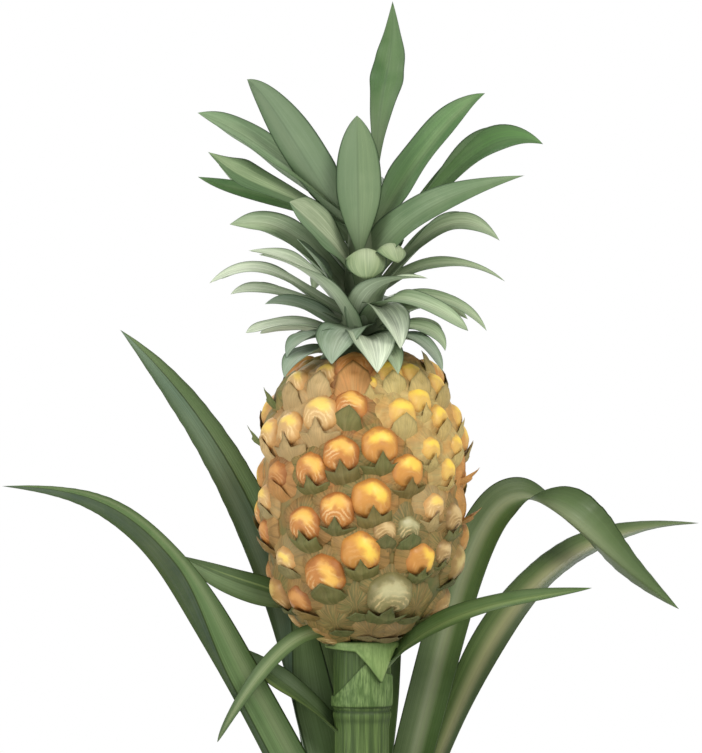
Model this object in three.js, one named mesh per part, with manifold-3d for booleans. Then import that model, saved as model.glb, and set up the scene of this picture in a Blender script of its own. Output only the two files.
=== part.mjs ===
// A pineapple plant in fruit, rooted in the ground.
// Millimetres, +Z up, with the origin at the middle of the flat cut under the stem.
// The front is -Y. A heading is in degrees, from the front round toward +X.

import * as THREE from "three";
import { mergeVertices } from "three/addons/utils/BufferGeometryUtils.js";
import Module from "manifold-3d";

const wasm = await Module();
wasm.setup();

// Driving dimensions
const clearance = 0.3; // between neighbours that touch on the real plant
const sliver = 0.05; // faces thinner than this are merged with their neighbours after a cut
const weld = 1e-3; // corners nearer than this are one corner
const stemHeight = 92;
const stemRadius = 23;
const rootFlare = 9; // how far the foot spreads past the stem
const leafScars = 7; // rings that old leaves leave on the stem
const peduncleRadius = 17;
const nodeHeight = 174; // the joint in the peduncle
const fruitBottom = 218;
const fruitHeight = 168;
const fruitWidth = 133; // over the eyes
const eyeCount = 92;
const eyeRadius = 11.6;
const eyeRise = 7.2; // how far an eye stands out of the skin
const eyeSides = 6;
const bractNib = 1.6; // how far the tip of its bract stands out of an eye's lower edge
const goldenAngle = 137.508;
const frontEyeHeading = 4.7; // the eye nearest the middle of the front
const frontEyeShare = 0.5; // its place up the skin, by area
const crownTop = 500; // where the crown's own stalk ends, among its leaves
const crownRadius = 26;
const sheathThickness = 2.2;

const fruitTop = fruitBottom + fruitHeight;
const skinRadius = fruitWidth / 2 - eyeRise;

const plant = new THREE.Group();

const finishes = {
  leaf: { color: 0x5d7346, roughness: 0.5, metalness: 0 },
  paleLeaf: { color: 0x8fa57c, roughness: 0.55, metalness: 0 },
  stem: { color: 0x7b6a4a, roughness: 0.85, metalness: 0 },
  peduncle: { color: 0x5f7440, roughness: 0.6, metalness: 0 },
  fruit: { color: 0xc8843c, roughness: 0.45, metalness: 0 },
};

// Closed geometry to a solid, with only its positions kept.
function solidOf(geometry) {
  const bare = geometry.index ? geometry.toNonIndexed() : geometry.clone();
  bare.deleteAttribute("normal");
  bare.deleteAttribute("uv");
  const merged = mergeVertices(bare, weld);
  return new wasm.Manifold(
    new wasm.Mesh({
      numProp: 3,
      vertProperties: Float32Array.from(merged.attributes.position.array),
      triVerts: Uint32Array.from(merged.index.array),
    }),
  );
}

function geometryOf(solid) {
  const mesh = solid.getMesh();
  const geometry = new THREE.BufferGeometry();
  const position = new Float32Array(mesh.numVert * 3);
  for (let vertex = 0; vertex < mesh.numVert; vertex += 1) {
    for (let axis = 0; axis < 3; axis += 1) {
      position[vertex * 3 + axis] = mesh.vertProperties[vertex * mesh.numProp + axis];
    }
  }
  geometry.setAttribute("position", new THREE.BufferAttribute(position, 3));
  geometry.setIndex(new THREE.BufferAttribute(Uint32Array.from(mesh.triVerts), 1));
  geometry.computeVertexNormals();
  return geometry;
}

// The outer skin of a solid's largest piece: loose scraps and sealed hollows are left out.
function outerSkin(solid) {
  const mesh = solidOf(geometryOf(solid)).getMesh();
  const corner = (vertex) => new THREE.Vector3().fromArray(mesh.vertProperties, vertex * mesh.numProp);
  const parent = Array.from({ length: mesh.numVert }, (_, vertex) => vertex);
  const rootOf = (vertex) => {
    let root = vertex;
    while (parent[root] !== root) {
      root = parent[root];
    }
    parent[vertex] = root;
    return root;
  };
  const faces = Array.from({ length: mesh.numTri }, (_, face) => Array.from(mesh.verts(face)));
  for (const [first, second, third] of faces) {
    parent[rootOf(second)] = rootOf(first);
    parent[rootOf(third)] = rootOf(first);
  }
  const volumes = new Map();
  for (const face of faces) {
    const [first, second, third] = face.map(corner);
    const root = rootOf(face[0]);
    volumes.set(root, (volumes.get(root) ?? 0) + first.dot(second.cross(third)));
  }
  const [largest] = [...volumes].reduce((best, entry) => (entry[1] > best[1] ? entry : best));
  const kept = faces.filter((face) => rootOf(face[0]) === largest);
  const geometry = new THREE.BufferGeometry().setFromPoints(kept.flat().map(corner));
  return solidOf(geometry);
}

function addNode(name, solid, finish) {
  const mesh = new THREE.Mesh(geometryOf(solid), new THREE.MeshStandardMaterial(finish));
  mesh.name = name;
  plant.add(mesh);
}

const radians = THREE.MathUtils.degToRad;
const outward = (heading) => new THREE.Vector3(Math.sin(radians(heading)), -Math.cos(radians(heading)), 0);
const sideways = (heading) => new THREE.Vector3(Math.cos(radians(heading)), Math.sin(radians(heading)), 0);
const slope = (degrees, length) =>
  new THREE.Vector2(Math.cos(radians(degrees)), Math.sin(radians(degrees))).multiplyScalar(length);
const smooth = THREE.MathUtils.smoothstep;

// A body turned round the plant's own axis, from its [radius, height] outline.
function turned(outline, segments) {
  const points = outline.map(([radius, height]) => new THREE.Vector2(radius, height));
  return solidOf(new THREE.LatheGeometry(points, segments).rotateX(Math.PI / 2));
}

// Leaves. The centreline of a leaf is a curve in the upright plane of its heading, given by where
// it starts and ends and by its slope at both ends. It swings round by leaf.swing on the way out.
// The blade is a gutter: two flats that meet in a fold along the centreline.
const leafHabit = {
  root: 4, // distance from the axis at which a leaf starts, inside what carries it
  swing: 0,
  rise: 0.4, // how long the curve holds its first slope, as a share of the way to the tip
  droop: 0.35, // and how long it holds its last one
  roll: 0,
  rolled: 0.55, // share of the length in which the blade turns to its full roll
  widest: 0.35,
  neck: 0.7, // width at the root, as a share of the full width
  taper: 1.9,
  fold: 0.32, // height of the edges over the fold, as a share of half the width
  thickness: 3.6,
  stations: 9,
  from: 0,
  to: 1,
};

function leafStation(leaf, share) {
  const start = new THREE.Vector2(leaf.root, leaf.base);
  const tip = new THREE.Vector2(leaf.reach, leaf.tip);
  const span = start.distanceTo(tip);
  const curve = new THREE.CubicBezierCurve(
    start,
    start.clone().add(slope(leaf.lift, span * leaf.rise)),
    tip.clone().sub(slope(leaf.aim, span * leaf.droop)),
    tip,
  );
  const placed = (t) => {
    const point = curve.getPoint(t);
    const spot = outward(leaf.heading + leaf.swing * t * t).multiplyScalar(point.x);
    return spot.setZ(point.y);
  };
  const step = 0.002;
  const centre = placed(share);
  const along = placed(Math.min(share + step, 1)).sub(placed(Math.max(share - step, 0))).normalize();
  const side = sideways(leaf.heading + leaf.swing * share * share);
  side.addScaledVector(along, -along.dot(side)).normalize();
  const roll = radians(leaf.roll * (leaf.rolled > 0 ? smooth(share, 0, leaf.rolled) : 1));
  side.applyAxisAngle(along, roll);
  const up = along.clone().cross(side);
  const opening = leaf.neck + (1 - leaf.neck) * smooth(share, 0, leaf.widest);
  const beyond = Math.max(0, (share - leaf.widest) / (1 - leaf.widest));
  const half = (leaf.width / 2) * opening * (1 - beyond ** leaf.taper);
  const thick = leaf.thickness * (1 - 0.55 * share);
  return { centre, along, side, up, half, thick };
}

// A closed body from rings of corners, one ring a station, ending in a flat cap or a point.
function loft(rings, point) {
  const corners = rings[0].length;
  const position = rings.flat();
  const faces = [];
  for (let corner = 1; corner + 1 < corners; corner += 1) {
    faces.push(0, corner, corner + 1);
  }
  for (let start = 0; start + corners < position.length; start += corners) {
    for (let corner = 0; corner < corners; corner += 1) {
      const here = start + corner;
      const next = start + ((corner + 1) % corners);
      faces.push(here, here + corners, next, next, here + corners, next + corners);
    }
  }
  const last = position.length - corners;
  if (point) {
    position.push(point);
    for (let corner = 0; corner < corners; corner += 1) {
      faces.push(last + corner, last + corners, last + ((corner + 1) % corners));
    }
  } else {
    for (let corner = 1; corner + 1 < corners; corner += 1) {
      faces.push(last, last + corner + 1, last + corner);
    }
  }
  const geometry = new THREE.BufferGeometry().setFromPoints(position);
  geometry.setIndex(faces);
  return solidOf(geometry);
}

function leafSolid(row, grown = 0) {
  const leaf = { ...leafHabit, ...row };
  const pointed = leaf.to === 1;
  const count = pointed ? leaf.stations : leaf.stations + 1;
  const rings = [];
  for (let index = 0; index < count; index += 1) {
    const share = leaf.from + ((leaf.to - leaf.from) * index) / leaf.stations;
    const { centre, side, up, half, thick } = leafStation(leaf, share);
    const corner = (across, over) => centre.clone().addScaledVector(side, across).addScaledVector(up, over);
    const depth = thick / 2 + 1.5 * grown;
    const reach = half + 2 * grown;
    const lips = grown ? [half * leaf.fold + 1.5 * grown, half * leaf.fold - 1.5 * grown] : [half * leaf.fold];
    rings.push([
      corner(0, depth),
      ...lips.map((lip) => corner(reach, lip)),
      corner(0, -depth),
      ...lips.toReversed().map((lip) => corner(-reach, lip)),
    ]);
  }
  const tip = leafStation(leaf, 1);
  return loft(rings, pointed ? tip.centre.addScaledVector(tip.along, grown) : null);
}

// Stem: a short trunk with a spread foot, ringed by the scars of old leaves.
function stemSolid(grown = 0) {
  const outline = [[0, 0]];
  const steps = leafScars * 2;
  for (let step = 0; step <= steps; step += 1) {
    const share = step / steps;
    const flare = rootFlare * (1 - smooth(share, 0, 0.3));
    const ridge = step % 2 === 1 ? 1.2 : 0;
    outline.push([stemRadius + flare + ridge - 3 * share + grown, share * stemHeight]);
  }
  outline.push([0, stemHeight + grown]);
  return turned(outline, 16);
}

// Peduncle: the stalk that carries the fruit, with a raised joint part of the way up.
const peduncleFoot = stemHeight + clearance;
const peduncleTop = fruitBottom - clearance;

function peduncleSolid(grown = 0) {
  const swell = 1.6;
  const outline = [
    [0, peduncleFoot - grown],
    [peduncleRadius - 1 + grown, peduncleFoot - grown],
    [peduncleRadius - 1 + grown, nodeHeight - 8],
    [peduncleRadius + swell + grown, nodeHeight - 1],
    [peduncleRadius + swell + grown, nodeHeight + 1],
    [peduncleRadius + grown, nodeHeight + 3],
    [peduncleRadius + grown, peduncleTop],
    [0, peduncleTop],
  ];
  return turned(outline, 16);
}

// Fruit: an egg-shaped core, with its eyes set by the golden angle so that each has the same share
// of the skin.
const skin = new THREE.SplineCurve(
  [
    [0.3, 0],
    [0.6, 0.06],
    [0.86, 0.17],
    [0.98, 0.33],
    [1, 0.5],
    [0.975, 0.72],
    [0.84, 0.87],
    [0.7, 0.95],
    [0.5, 1],
  ].map(([radius, height]) => new THREE.Vector2(radius * skinRadius, fruitBottom + height * fruitHeight)),
);
const skinSteps = 200;

// Where the skin has taken up a given share of its whole area.
function skinAt(share) {
  const points = skin.getPoints(skinSteps);
  const areas = [0];
  for (let step = 1; step <= skinSteps; step += 1) {
    const width = points[step].x + points[step - 1].x;
    areas.push(areas[step - 1] + width * points[step].distanceTo(points[step - 1]));
  }
  const wanted = share * areas[skinSteps];
  const step = Math.max(1, areas.findIndex((area) => area >= wanted));
  const along = points[step].clone().sub(points[step - 1]).normalize();
  return { radius: points[step].x, height: points[step].y, along };
}

function eyeSolid(index, grown) {
  const middle = Math.round(eyeCount * frontEyeShare);
  const heading = frontEyeHeading + goldenAngle * (index - middle);
  const { radius, height, along } = skinAt((index + 0.5) / eyeCount);
  const across = sideways(heading);
  const upSkin = outward(heading).multiplyScalar(along.x).setZ(along.y);
  const out = across.clone().cross(upSkin);
  const centre = outward(heading).multiplyScalar(radius).setZ(height);
  const wide = eyeRadius + grown;
  const tall = eyeRise + grown;
  const ring = (reach, lift, nib) =>
    Array.from({ length: eyeSides }, (_, side) => {
      const angle = radians(-90 - (360 * side) / eyeSides);
      const beyond = side === 0 ? nib : 0;
      return centre
        .clone()
        .addScaledVector(across, Math.cos(angle) * (reach + beyond))
        .addScaledVector(upSkin, Math.sin(angle) * (reach + beyond))
        .addScaledVector(out, lift + beyond);
    });
  const top = centre.clone().addScaledVector(out, tall);
  return loft([ring(wide * 0.8, -5, 0), ring(wide, -1, 0), ring(wide * 0.7, tall * 0.72, bractNib)], top);
}

function fruitSolid(grown = 0) {
  const points = skin.getPoints(7);
  const outline = [
    [0, fruitBottom - grown],
    ...points.map((point) => [point.x + grown, point.y]),
    [0, fruitTop + grown],
  ];
  let fruit = turned(outline, 14);
  for (let index = 3; index < eyeCount - 4; index += 1) {
    fruit = fruit.add(eyeSolid(index, grown));
  }
  const slab = solidOf(
    new THREE.BoxGeometry(2 * fruitWidth, 2 * fruitWidth, fruitHeight + 2 * grown).translate(
      0,
      0,
      fruitBottom + fruitHeight / 2,
    ),
  );
  return outerSkin(fruit.intersect(slab).simplify(sliver));
}

// Crown: a short stalk, with leaves from upright at the top to drooping over the fruit's shoulders.
const crownHabit = { root: 2, thickness: 2, stations: 5, neck: 0.9, widest: 0.35, taper: 2.5, rolled: 0 };
const crownLeaves = [
  { heading: 150, base: 474, lift: 62, reach: 37, tip: 601, aim: 88, width: 26, roll: 30, widest: 0.6 },
  { heading: -6, base: 440, lift: 62, reach: 42, tip: 532, aim: 82, width: 30 },
  { heading: -62, base: 450, lift: 66, reach: 79, tip: 554, aim: 42, width: 28, roll: 35 },
  { heading: 66, base: 458, lift: 60, reach: 81, tip: 545, aim: 30, width: 27, roll: 45 },
  { heading: 80, base: 458, lift: 46, reach: 110, tip: 514, aim: -30, width: 28, roll: 55 },
  { heading: -85, base: 474, lift: 38, reach: 99, tip: 534, aim: 14, width: 25, roll: -50 },
  { heading: -76, base: 466, lift: 20, reach: 95, tip: 510, aim: 35, width: 21, roll: -50 },
  { heading: -95, base: 450, lift: 32, reach: 99, tip: 496, aim: 8, width: 18, roll: -45 },
  { heading: -50, base: 440, lift: 40, reach: 66, tip: 486, aim: 40, width: 28, roll: -20 },
  { heading: -82, base: 430, lift: 58, reach: 79, tip: 467, aim: -8, width: 20, roll: -50 },
  { heading: -52, base: 412, lift: 26, reach: 84, tip: 452, aim: 8, width: 25, roll: -40 },
  { heading: -92, base: 424, lift: 36, reach: 92, tip: 432, aim: -38, width: 17, roll: -50 },
  { heading: -84, base: 412, lift: 24, reach: 79, tip: 425, aim: -18, width: 15, roll: -50 },
  { heading: -72, base: 402, lift: 26, reach: 61, tip: 418, aim: -12, width: 17, roll: -40 },
  { heading: -80, base: 393, lift: 30, reach: 71, tip: 402, aim: -25, width: 17, roll: -40 },
  { heading: -52, base: 400, lift: 0, reach: 57, tip: 388, aim: -60, width: 21 },
  { heading: -46, base: 390, lift: 4, reach: 64, tip: 376, aim: -62, width: 22 },
  { heading: -22, base: 400, lift: 0, reach: 62, tip: 382, aim: -60, width: 27 },
  { heading: 8, base: 396, lift: 8, reach: 64, tip: 375, aim: -70, width: 25 },
  { heading: 20, base: 412, lift: 22, reach: 60, tip: 390, aim: -78, width: 21 },
  { heading: 22, base: 390, lift: 6, reach: 66, tip: 374, aim: -65, width: 16 },
  { heading: 48, base: 396, lift: 22, reach: 67, tip: 376, aim: -58, width: 17 },
  { heading: 66, base: 394, lift: 44, reach: 55, tip: 389, aim: -76, width: 16, roll: 20 },
  { heading: 74, base: 402, lift: 30, reach: 52, tip: 413, aim: -40, width: 19, roll: 30 },
  { heading: 42, base: 410, lift: 34, reach: 92, tip: 404, aim: -58, width: 27, roll: 20 },
  { heading: 72, base: 414, lift: 40, reach: 82, tip: 400, aim: -56, width: 16, roll: 30 },
  { heading: 80, base: 426, lift: 42, reach: 87, tip: 433, aim: -30, width: 18, roll: 45 },
  { heading: 78, base: 432, lift: 58, reach: 85, tip: 457, aim: -44, width: 20, roll: 45 },
  { heading: 60, base: 434, lift: 36, reach: 113, tip: 496, aim: 12, width: 34, roll: 45 },
  { heading: 24, base: 424, lift: 42, reach: 62, tip: 444, aim: -20, width: 20, roll: 10 },
  { heading: 4, base: 418, lift: 48, reach: 66, tip: 439, aim: -60, width: 28 },
];

// The back of the crown repeats its front, a little smaller, so that it is full all round.
const backOfCrown = crownLeaves
  .filter(({ heading }) => Math.abs(heading) < 86)
  .map((leaf, index) => ({
    ...leaf,
    heading: 180 - leaf.heading * (0.98 - 0.04 * (index % 3)),
    reach: leaf.reach * 0.95,
    roll: -(leaf.roll ?? 0),
  }));

function crownSolid() {
  const stalk = turned(
    [
      [0, fruitTop + clearance],
      [crownRadius, fruitTop + clearance],
      [crownRadius * 0.95, fruitTop + 14],
      [crownRadius * 0.7, fruitTop + 60],
      [crownRadius * 0.4, crownTop - 20],
      [0, crownTop],
    ],
    10,
  );
  let crown = stalk;
  for (const leaf of [...crownLeaves, ...backOfCrown]) {
    crown = crown.add(leafSolid({ ...crownHabit, ...leaf }));
  }
  return outerSkin(crown.subtract(fruitSolid(clearance)).simplify(sliver));
}

// Foliage, from the inside out: leaves on the peduncle, the leaves that rise round the fruit, and
// the low ones that spread over the ground.
const peduncleLeaves = {
  leaf_under_fruit_left: { heading: -86, base: 176, lift: 62, reach: 111, tip: 269, aim: 22, width: 19, roll: -45 },
  leaf_under_fruit_right: { heading: 80, base: 176, lift: 58, reach: 139, tip: 249, aim: 5, width: 16, roll: 45 },
  leaf_curled_down: { heading: -68, base: 210, lift: 12, reach: 93, tip: 157, aim: -54, width: 10, roll: -30 },
  leaf_short_left: { heading: -108, base: 152, lift: 36, reach: 84, tip: 220, aim: 34, width: 19, roll: -50 },
};

const archingRight = {
  heading: 132, swing: -38, base: 45, lift: 71.5, rise: 1.2, reach: 192, tip: 236, aim: -43, droop: 0.48,
  width: 33, neck: 0.95, roll: 88, rolled: 1, widest: 0.5, taper: 2.4, thickness: 5,
};
const bend = 0.55; // where the arching leaf turns over, as a share of its curve
const risingLeaves = {
  leaf_arching_right_foot: { ...archingRight, to: bend, stations: 6 },
  leaf_arching_right_end: { ...archingRight, from: bend + 0.001, stations: 6 },
  leaf_right: {
    heading: 118, swing: -10, base: 52, lift: 62, rise: 0.55, reach: 212, tip: 287, aim: 2, droop: 0.42,
    width: 27, roll: 48, thickness: 4,
  },
  leaf_left: {
    heading: -95, base: 38, lift: 63, rise: 0.47, reach: 216, tip: 310, aim: 4, droop: 0.4,
    width: 31, roll: -52, thickness: 4.4,
  },
  leaf_tall_left: {
    heading: -126, swing: 14, base: 60, lift: 75, reach: 152, tip: 403, aim: 50,
    width: 30, neck: 0.7, widest: 0.65, roll: -45, thickness: 4.6,
  },
  leaf_broad_left: { heading: -152, base: 48, lift: 76, reach: 110, tip: 340, aim: 60, width: 44, roll: -10 },
  leaf_back_right: { heading: 168, base: 70, lift: 78, reach: 130, tip: 360, aim: 50, width: 34, roll: 0 },
  leaf_back_left: { heading: -172, base: 26, lift: 70, reach: 170, tip: 300, aim: 10, width: 36, roll: 0 },
};

// Low leaves: evenly turned about the stem, each a little lower and longer than the one before.
const lowLeafCount = 14;
const lowLeaf = { base: 74, lift: 56, reach: 168, tip: 96, aim: -34, width: 34, neck: 0.95, thickness: 3.8 };
const lowest = { base: 12, lift: 22, reach: 226, tip: 16, aim: -30 };
const lowLeaves = {};
for (let index = 0; index < lowLeafCount; index += 1) {
  const share = index / (lowLeafCount - 1);
  const between = (key) => THREE.MathUtils.lerp(lowLeaf[key], lowest[key], share);
  lowLeaves[`leaf_low_${String(index + 1).padStart(2, "0")}`] = {
    ...lowLeaf,
    heading: 30 + goldenAngle * index,
    base: between("base"),
    lift: between("lift"),
    reach: between("reach"),
    tip: between("tip"),
    aim: between("aim"),
  };
}

// A pointed wrap round the front of the peduncle, cut from a sleeve by its outline seen from the
// front.
function wrapSolid(inner, thickness, outline, grown = 0) {
  const low = 150;
  const high = peduncleTop + 10;
  const sleeve = turned(
    [
      [inner - grown, low],
      [inner + thickness + grown, low],
      [inner + thickness + grown, high],
      [inner - grown, high],
      [inner - grown, low],
    ],
    24,
  );
  const shape = new THREE.Shape(outline.map(([x, z]) => new THREE.Vector2(x, z)));
  const prism = new THREE.ExtrudeGeometry(shape, { depth: 40, bevelEnabled: false });
  prism.rotateX(Math.PI / 2).translate(0, 4, 0);
  return sleeve.intersect(solidOf(prism));
}

let taken = stemSolid(clearance).add(peduncleSolid(clearance)).add(fruitSolid(clearance));

// Adds a solid with everything that is already in place cut out of it.
function seat(name, solid, grownSolid, finish) {
  const seated = outerSkin(solid.subtract(taken).simplify(sliver));
  addNode(name, seated, finish);
  taken = taken.add(grownSolid);
}

addNode("stem", stemSolid(), finishes.stem);
addNode("peduncle", peduncleSolid(), finishes.peduncle);
addNode("fruit", fruitSolid(), finishes.fruit);
addNode("crown", crownSolid(), finishes.paleLeaf);

const sheathInner = peduncleRadius + clearance;
const sheathOutline = [[-26, 178], [26, 178], [26, 194], [2, 205], [-17, 185], [-26, 185]];
const collarInner = sheathInner + sheathThickness + clearance;
const collarOutline = [[-26, 217.5], [-26, 213], [-4, 211.5], [12, 192.5], [20, 213], [26, 214], [26, 217.5]];
seat(
  "peduncle_sheath",
  wrapSolid(sheathInner, sheathThickness, sheathOutline),
  wrapSolid(sheathInner, sheathThickness, sheathOutline, clearance),
  finishes.peduncle,
);
seat(
  "fruit_collar",
  wrapSolid(collarInner, sheathThickness, collarOutline),
  wrapSolid(collarInner, sheathThickness, collarOutline, clearance),
  finishes.paleLeaf,
);
for (const [name, leaf] of Object.entries({ ...peduncleLeaves, ...risingLeaves, ...lowLeaves })) {
  seat(name, leafSolid(leaf), leafSolid(leaf, clearance), finishes.leaf);
}

export default plant;
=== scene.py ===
import math
import random

import bmesh
import bpy
import numpy as np
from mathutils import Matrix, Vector


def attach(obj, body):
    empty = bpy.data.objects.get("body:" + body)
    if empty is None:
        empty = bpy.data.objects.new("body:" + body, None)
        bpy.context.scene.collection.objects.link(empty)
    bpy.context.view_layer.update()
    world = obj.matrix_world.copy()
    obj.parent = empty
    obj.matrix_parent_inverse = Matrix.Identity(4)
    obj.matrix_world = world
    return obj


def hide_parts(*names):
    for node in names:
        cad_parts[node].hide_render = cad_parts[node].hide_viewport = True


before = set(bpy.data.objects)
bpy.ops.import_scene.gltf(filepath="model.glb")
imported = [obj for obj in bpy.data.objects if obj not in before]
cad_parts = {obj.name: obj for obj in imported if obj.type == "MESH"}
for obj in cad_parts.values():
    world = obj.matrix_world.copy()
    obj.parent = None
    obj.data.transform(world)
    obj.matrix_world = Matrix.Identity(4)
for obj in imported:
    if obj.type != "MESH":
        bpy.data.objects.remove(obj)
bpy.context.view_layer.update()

# A pineapple plant in fruit. Sizes in the dictionaries are millimetres, +Z up, front at -Y.
# A heading is in degrees, from the front round toward +X. A share runs from 0 to 1.
millimetre = 0.001
print("frame loaded:", len(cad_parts), "nodes")


def paint(red, green, blue):
    # a screen colour, 0 to 255, as the linear colour that a shader socket takes
    def linear(level):
        level = level / 255
        return level / 12.92 if level <= 0.04045 else ((level + 0.055) / 1.055) ** 2.4
    return (linear(red), linear(green), linear(blue), 1.0)


def smooth(value, low, high):
    share = np.clip((value - low) / (high - low), 0, 1)
    return share * share * (3 - 2 * share)


def outward(heading):
    turn = np.radians(heading)
    return np.stack([np.sin(turn), -np.cos(turn), np.zeros_like(turn)], -1)


def sideways(heading):
    turn = np.radians(heading)
    return np.stack([np.cos(turn), np.sin(turn), np.zeros_like(turn)], -1)


def unit(vectors):
    return vectors / np.linalg.norm(vectors, axis=-1, keepdims=True)


# A heap gathers points, faces and what is marked on each point, until it becomes one mesh.
def newHeap():
    return {"points": [], "faces": [], "uv": [], "marks": {}}


def addToHeap(heap, points, faces, uv, marks):
    start = len(heap["points"])
    heap["points"].extend(tuple(point * millimetre) for point in points)
    heap["faces"].extend(tuple(start + corner for corner in face) for face in faces)
    heap["uv"].extend(tuple(place) for place in uv)
    for name, values in marks.items():
        heap["marks"].setdefault(name, []).extend(values)


def heapOf(points, faces, uv, marks=None):
    heap = newHeap()
    addToHeap(heap, points, faces, uv, marks or {})
    return heap


def heapToPiece(heap, name, finish):
    mesh = bpy.data.meshes.new(name)
    mesh.from_pydata(heap["points"], [], heap["faces"])
    shape = bmesh.new()
    shape.from_mesh(mesh)
    bmesh.ops.recalc_face_normals(shape, faces=shape.faces)
    shape.to_mesh(mesh)
    shape.free()
    layer = mesh.uv_layers.new(name="surface")
    corners = np.empty(len(mesh.loops), dtype=np.int32)
    mesh.loops.foreach_get("vertex_index", corners)
    layer.data.foreach_set("uv", np.array(heap["uv"], dtype=np.float32)[corners].ravel())
    for mark, values in heap["marks"].items():
        values = np.array(values, dtype=np.float32)
        kind = {1: "FLOAT", 2: "FLOAT_VECTOR"}[values.ndim]
        if values.ndim == 2 and values.shape[1] == 4:
            kind = "FLOAT_COLOR"
        attribute = mesh.attributes.new(mark, kind, "POINT")
        field = {"FLOAT": "value", "FLOAT_VECTOR": "vector", "FLOAT_COLOR": "color"}[kind]
        attribute.data.foreach_set(field, values.ravel())
    mesh.shade_smooth()
    mesh.materials.append(finish)
    return addObject(name, mesh)


def settle(piece, slot, *nodes):
    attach(piece, "root")
    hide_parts(*nodes)
    print(piece.name, len(piece.data.polygons), "faces")


def addNode(tree, kind, inputs=None, **settings):
    node = tree.nodes.new(kind)
    for name, value in settings.items():
        setattr(node, name, value)
    for socket, value in (inputs or {}).items():
        if isinstance(value, bpy.types.NodeSocket):
            tree.links.new(value, node.inputs[socket])
        else:
            node.inputs[socket].default_value = value
    return node


def wire(tree, kind, inputs=None, **settings):
    # a new node's first output
    return addNode(tree, kind, inputs, **settings).outputs[0]


def calc(tree, operation, *values):
    return wire(tree, "ShaderNodeMath", dict(enumerate(values)), operation=operation)


def times(tree, first, second):
    return calc(tree, "MULTIPLY", first, second)


def ramp(tree, value, low, high, start=0.0, end=1.0):
    sockets = {0: value, 1: low, 2: high, 3: start, 4: end}
    return wire(tree, "ShaderNodeMapRange", sockets, interpolation_type="SMOOTHSTEP")


def mixTint(tree, factor, first, second):
    sockets = {0: factor, 6: first, 7: second}
    return addNode(tree, "ShaderNodeMix", sockets, data_type="RGBA").outputs[2]


def readMark(tree, name, output="Color"):
    return addNode(tree, "ShaderNodeAttribute", attribute_name=name).outputs[output]


socketKinds = {float: "Float", int: "Int", tuple: "Vector"}


def newGroup(name, inputs, outputs, geometry=False):
    # an input is given by its default value, or by the kind of its socket where it has none
    tree = bpy.data.node_groups.new(name, "GeometryNodeTree" if geometry else "ShaderNodeTree")
    for label, value in inputs.items():
        plain = isinstance(value, str)
        kind = "NodeSocket" + (value if plain else socketKinds[type(value)])
        socket = tree.interface.new_socket(name=label, in_out="INPUT", socket_type=kind)
        if not plain:
            socket.default_value = value
    kind = "NodeSocketGeometry" if geometry else "NodeSocketFloat"
    for label in outputs:
        tree.interface.new_socket(name=label, in_out="OUTPUT", socket_type=kind)
    return tree, tree.nodes.new("NodeGroupInput").outputs, tree.nodes.new("NodeGroupOutput").inputs


def useGroup(tree, group, inputs):
    return addNode(tree, tree.bl_idname.replace("Tree", "Group"), inputs, node_tree=group).outputs


def paintOver(tree, tint, *layers):
    # a layer is where it lies, how strong it is there, and its colour
    for factor, strength, over in layers:
        tint = mixTint(tree, times(tree, factor, strength), tint, over)
    return tint


def surfaceMap(tree):
    return wire(tree, "ShaderNodeUVMap", uv_map="surface")


def split(tree, vector):
    return addNode(tree, "ShaderNodeSeparateXYZ", {0: vector}).outputs


def addObject(name, data):
    added = bpy.data.objects.new(name, data)
    bpy.context.scene.collection.objects.link(added)
    return added


def surfaceOf(finish):
    return finish.node_tree.nodes["Principled BSDF"].inputs


def newFinish(name, roughness, coat=0.0):
    finish = bpy.data.materials.new(name)
    finish.use_nodes = True
    surface = surfaceOf(finish)
    surface["Roughness"].default_value = roughness
    surface["Specular IOR Level"].default_value = 0.35
    surface["Coat Weight"].default_value = coat
    surface["Coat Roughness"].default_value = 0.28
    return finish, finish.node_tree


def dress(finish, tint, height, strength, distance, rough=None):
    # the colour and the bump of a finish, and its roughness where that changes over the surface
    tree = finish.node_tree
    bump = {"Strength": strength, "Distance": distance * millimetre, "Height": height}
    made = {"Base Color": tint, "Normal": wire(tree, "ShaderNodeBump", bump), "Roughness": rough}
    for label, value in made.items():
        if value is not None:
            tree.links.new(value, surfaceOf(finish)[label])
    return finish


camera = {
    "across": -6.6,  # middle of the view
    "height": 375.9,
    "tall": 451.8,  # what the view takes in at the plant
    "distance": 3000,
}


def placeCamera(habit):
    data = bpy.data.cameras.new("camera")
    data.sensor_width = 36
    data.lens = data.sensor_width * habit["distance"] / habit["tall"]
    seen = addObject("camera", data)
    place = (habit["across"], -habit["distance"], habit["height"])
    seen.location = [value * millimetre for value in place]
    seen.rotation_euler = (math.pi / 2, 0, 0)
    bpy.context.scene.camera = seen


placeCamera(camera)


# Fine streaks that run the length of a leaf or stalk, from its surface map.
def makeFibreGroup():
    inputs = {"Map": "Vector", "Count": 60.0, "Run": 3.0, "Broad": 9.0}
    tree, given, result = newGroup("Fibres", inputs, ("Streak", "Band", "Height"))
    place = split(tree, given["Map"])

    def streaks(count, run, detail):
        sockets = {0: times(tree, place[0], count), 1: times(tree, place[1], run)}
        stretched = wire(tree, "ShaderNodeCombineXYZ", sockets)
        noise = {"Vector": stretched, "Scale": 1.0, "Detail": detail, "Roughness": 0.6}
        return wire(tree, "ShaderNodeTexNoise", noise)

    fine = streaks(given["Count"], given["Run"], 3.0)
    broad = streaks(given["Broad"], times(tree, given["Run"], 0.6), 2.0)
    tree.links.new(ramp(tree, fine, 0.36, 0.64), result["Streak"])
    tree.links.new(ramp(tree, broad, 0.35, 0.65), result["Band"])
    tree.links.new(calc(tree, "ADD", fine, times(tree, broad, 0.5)), result["Height"])
    return tree


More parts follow.
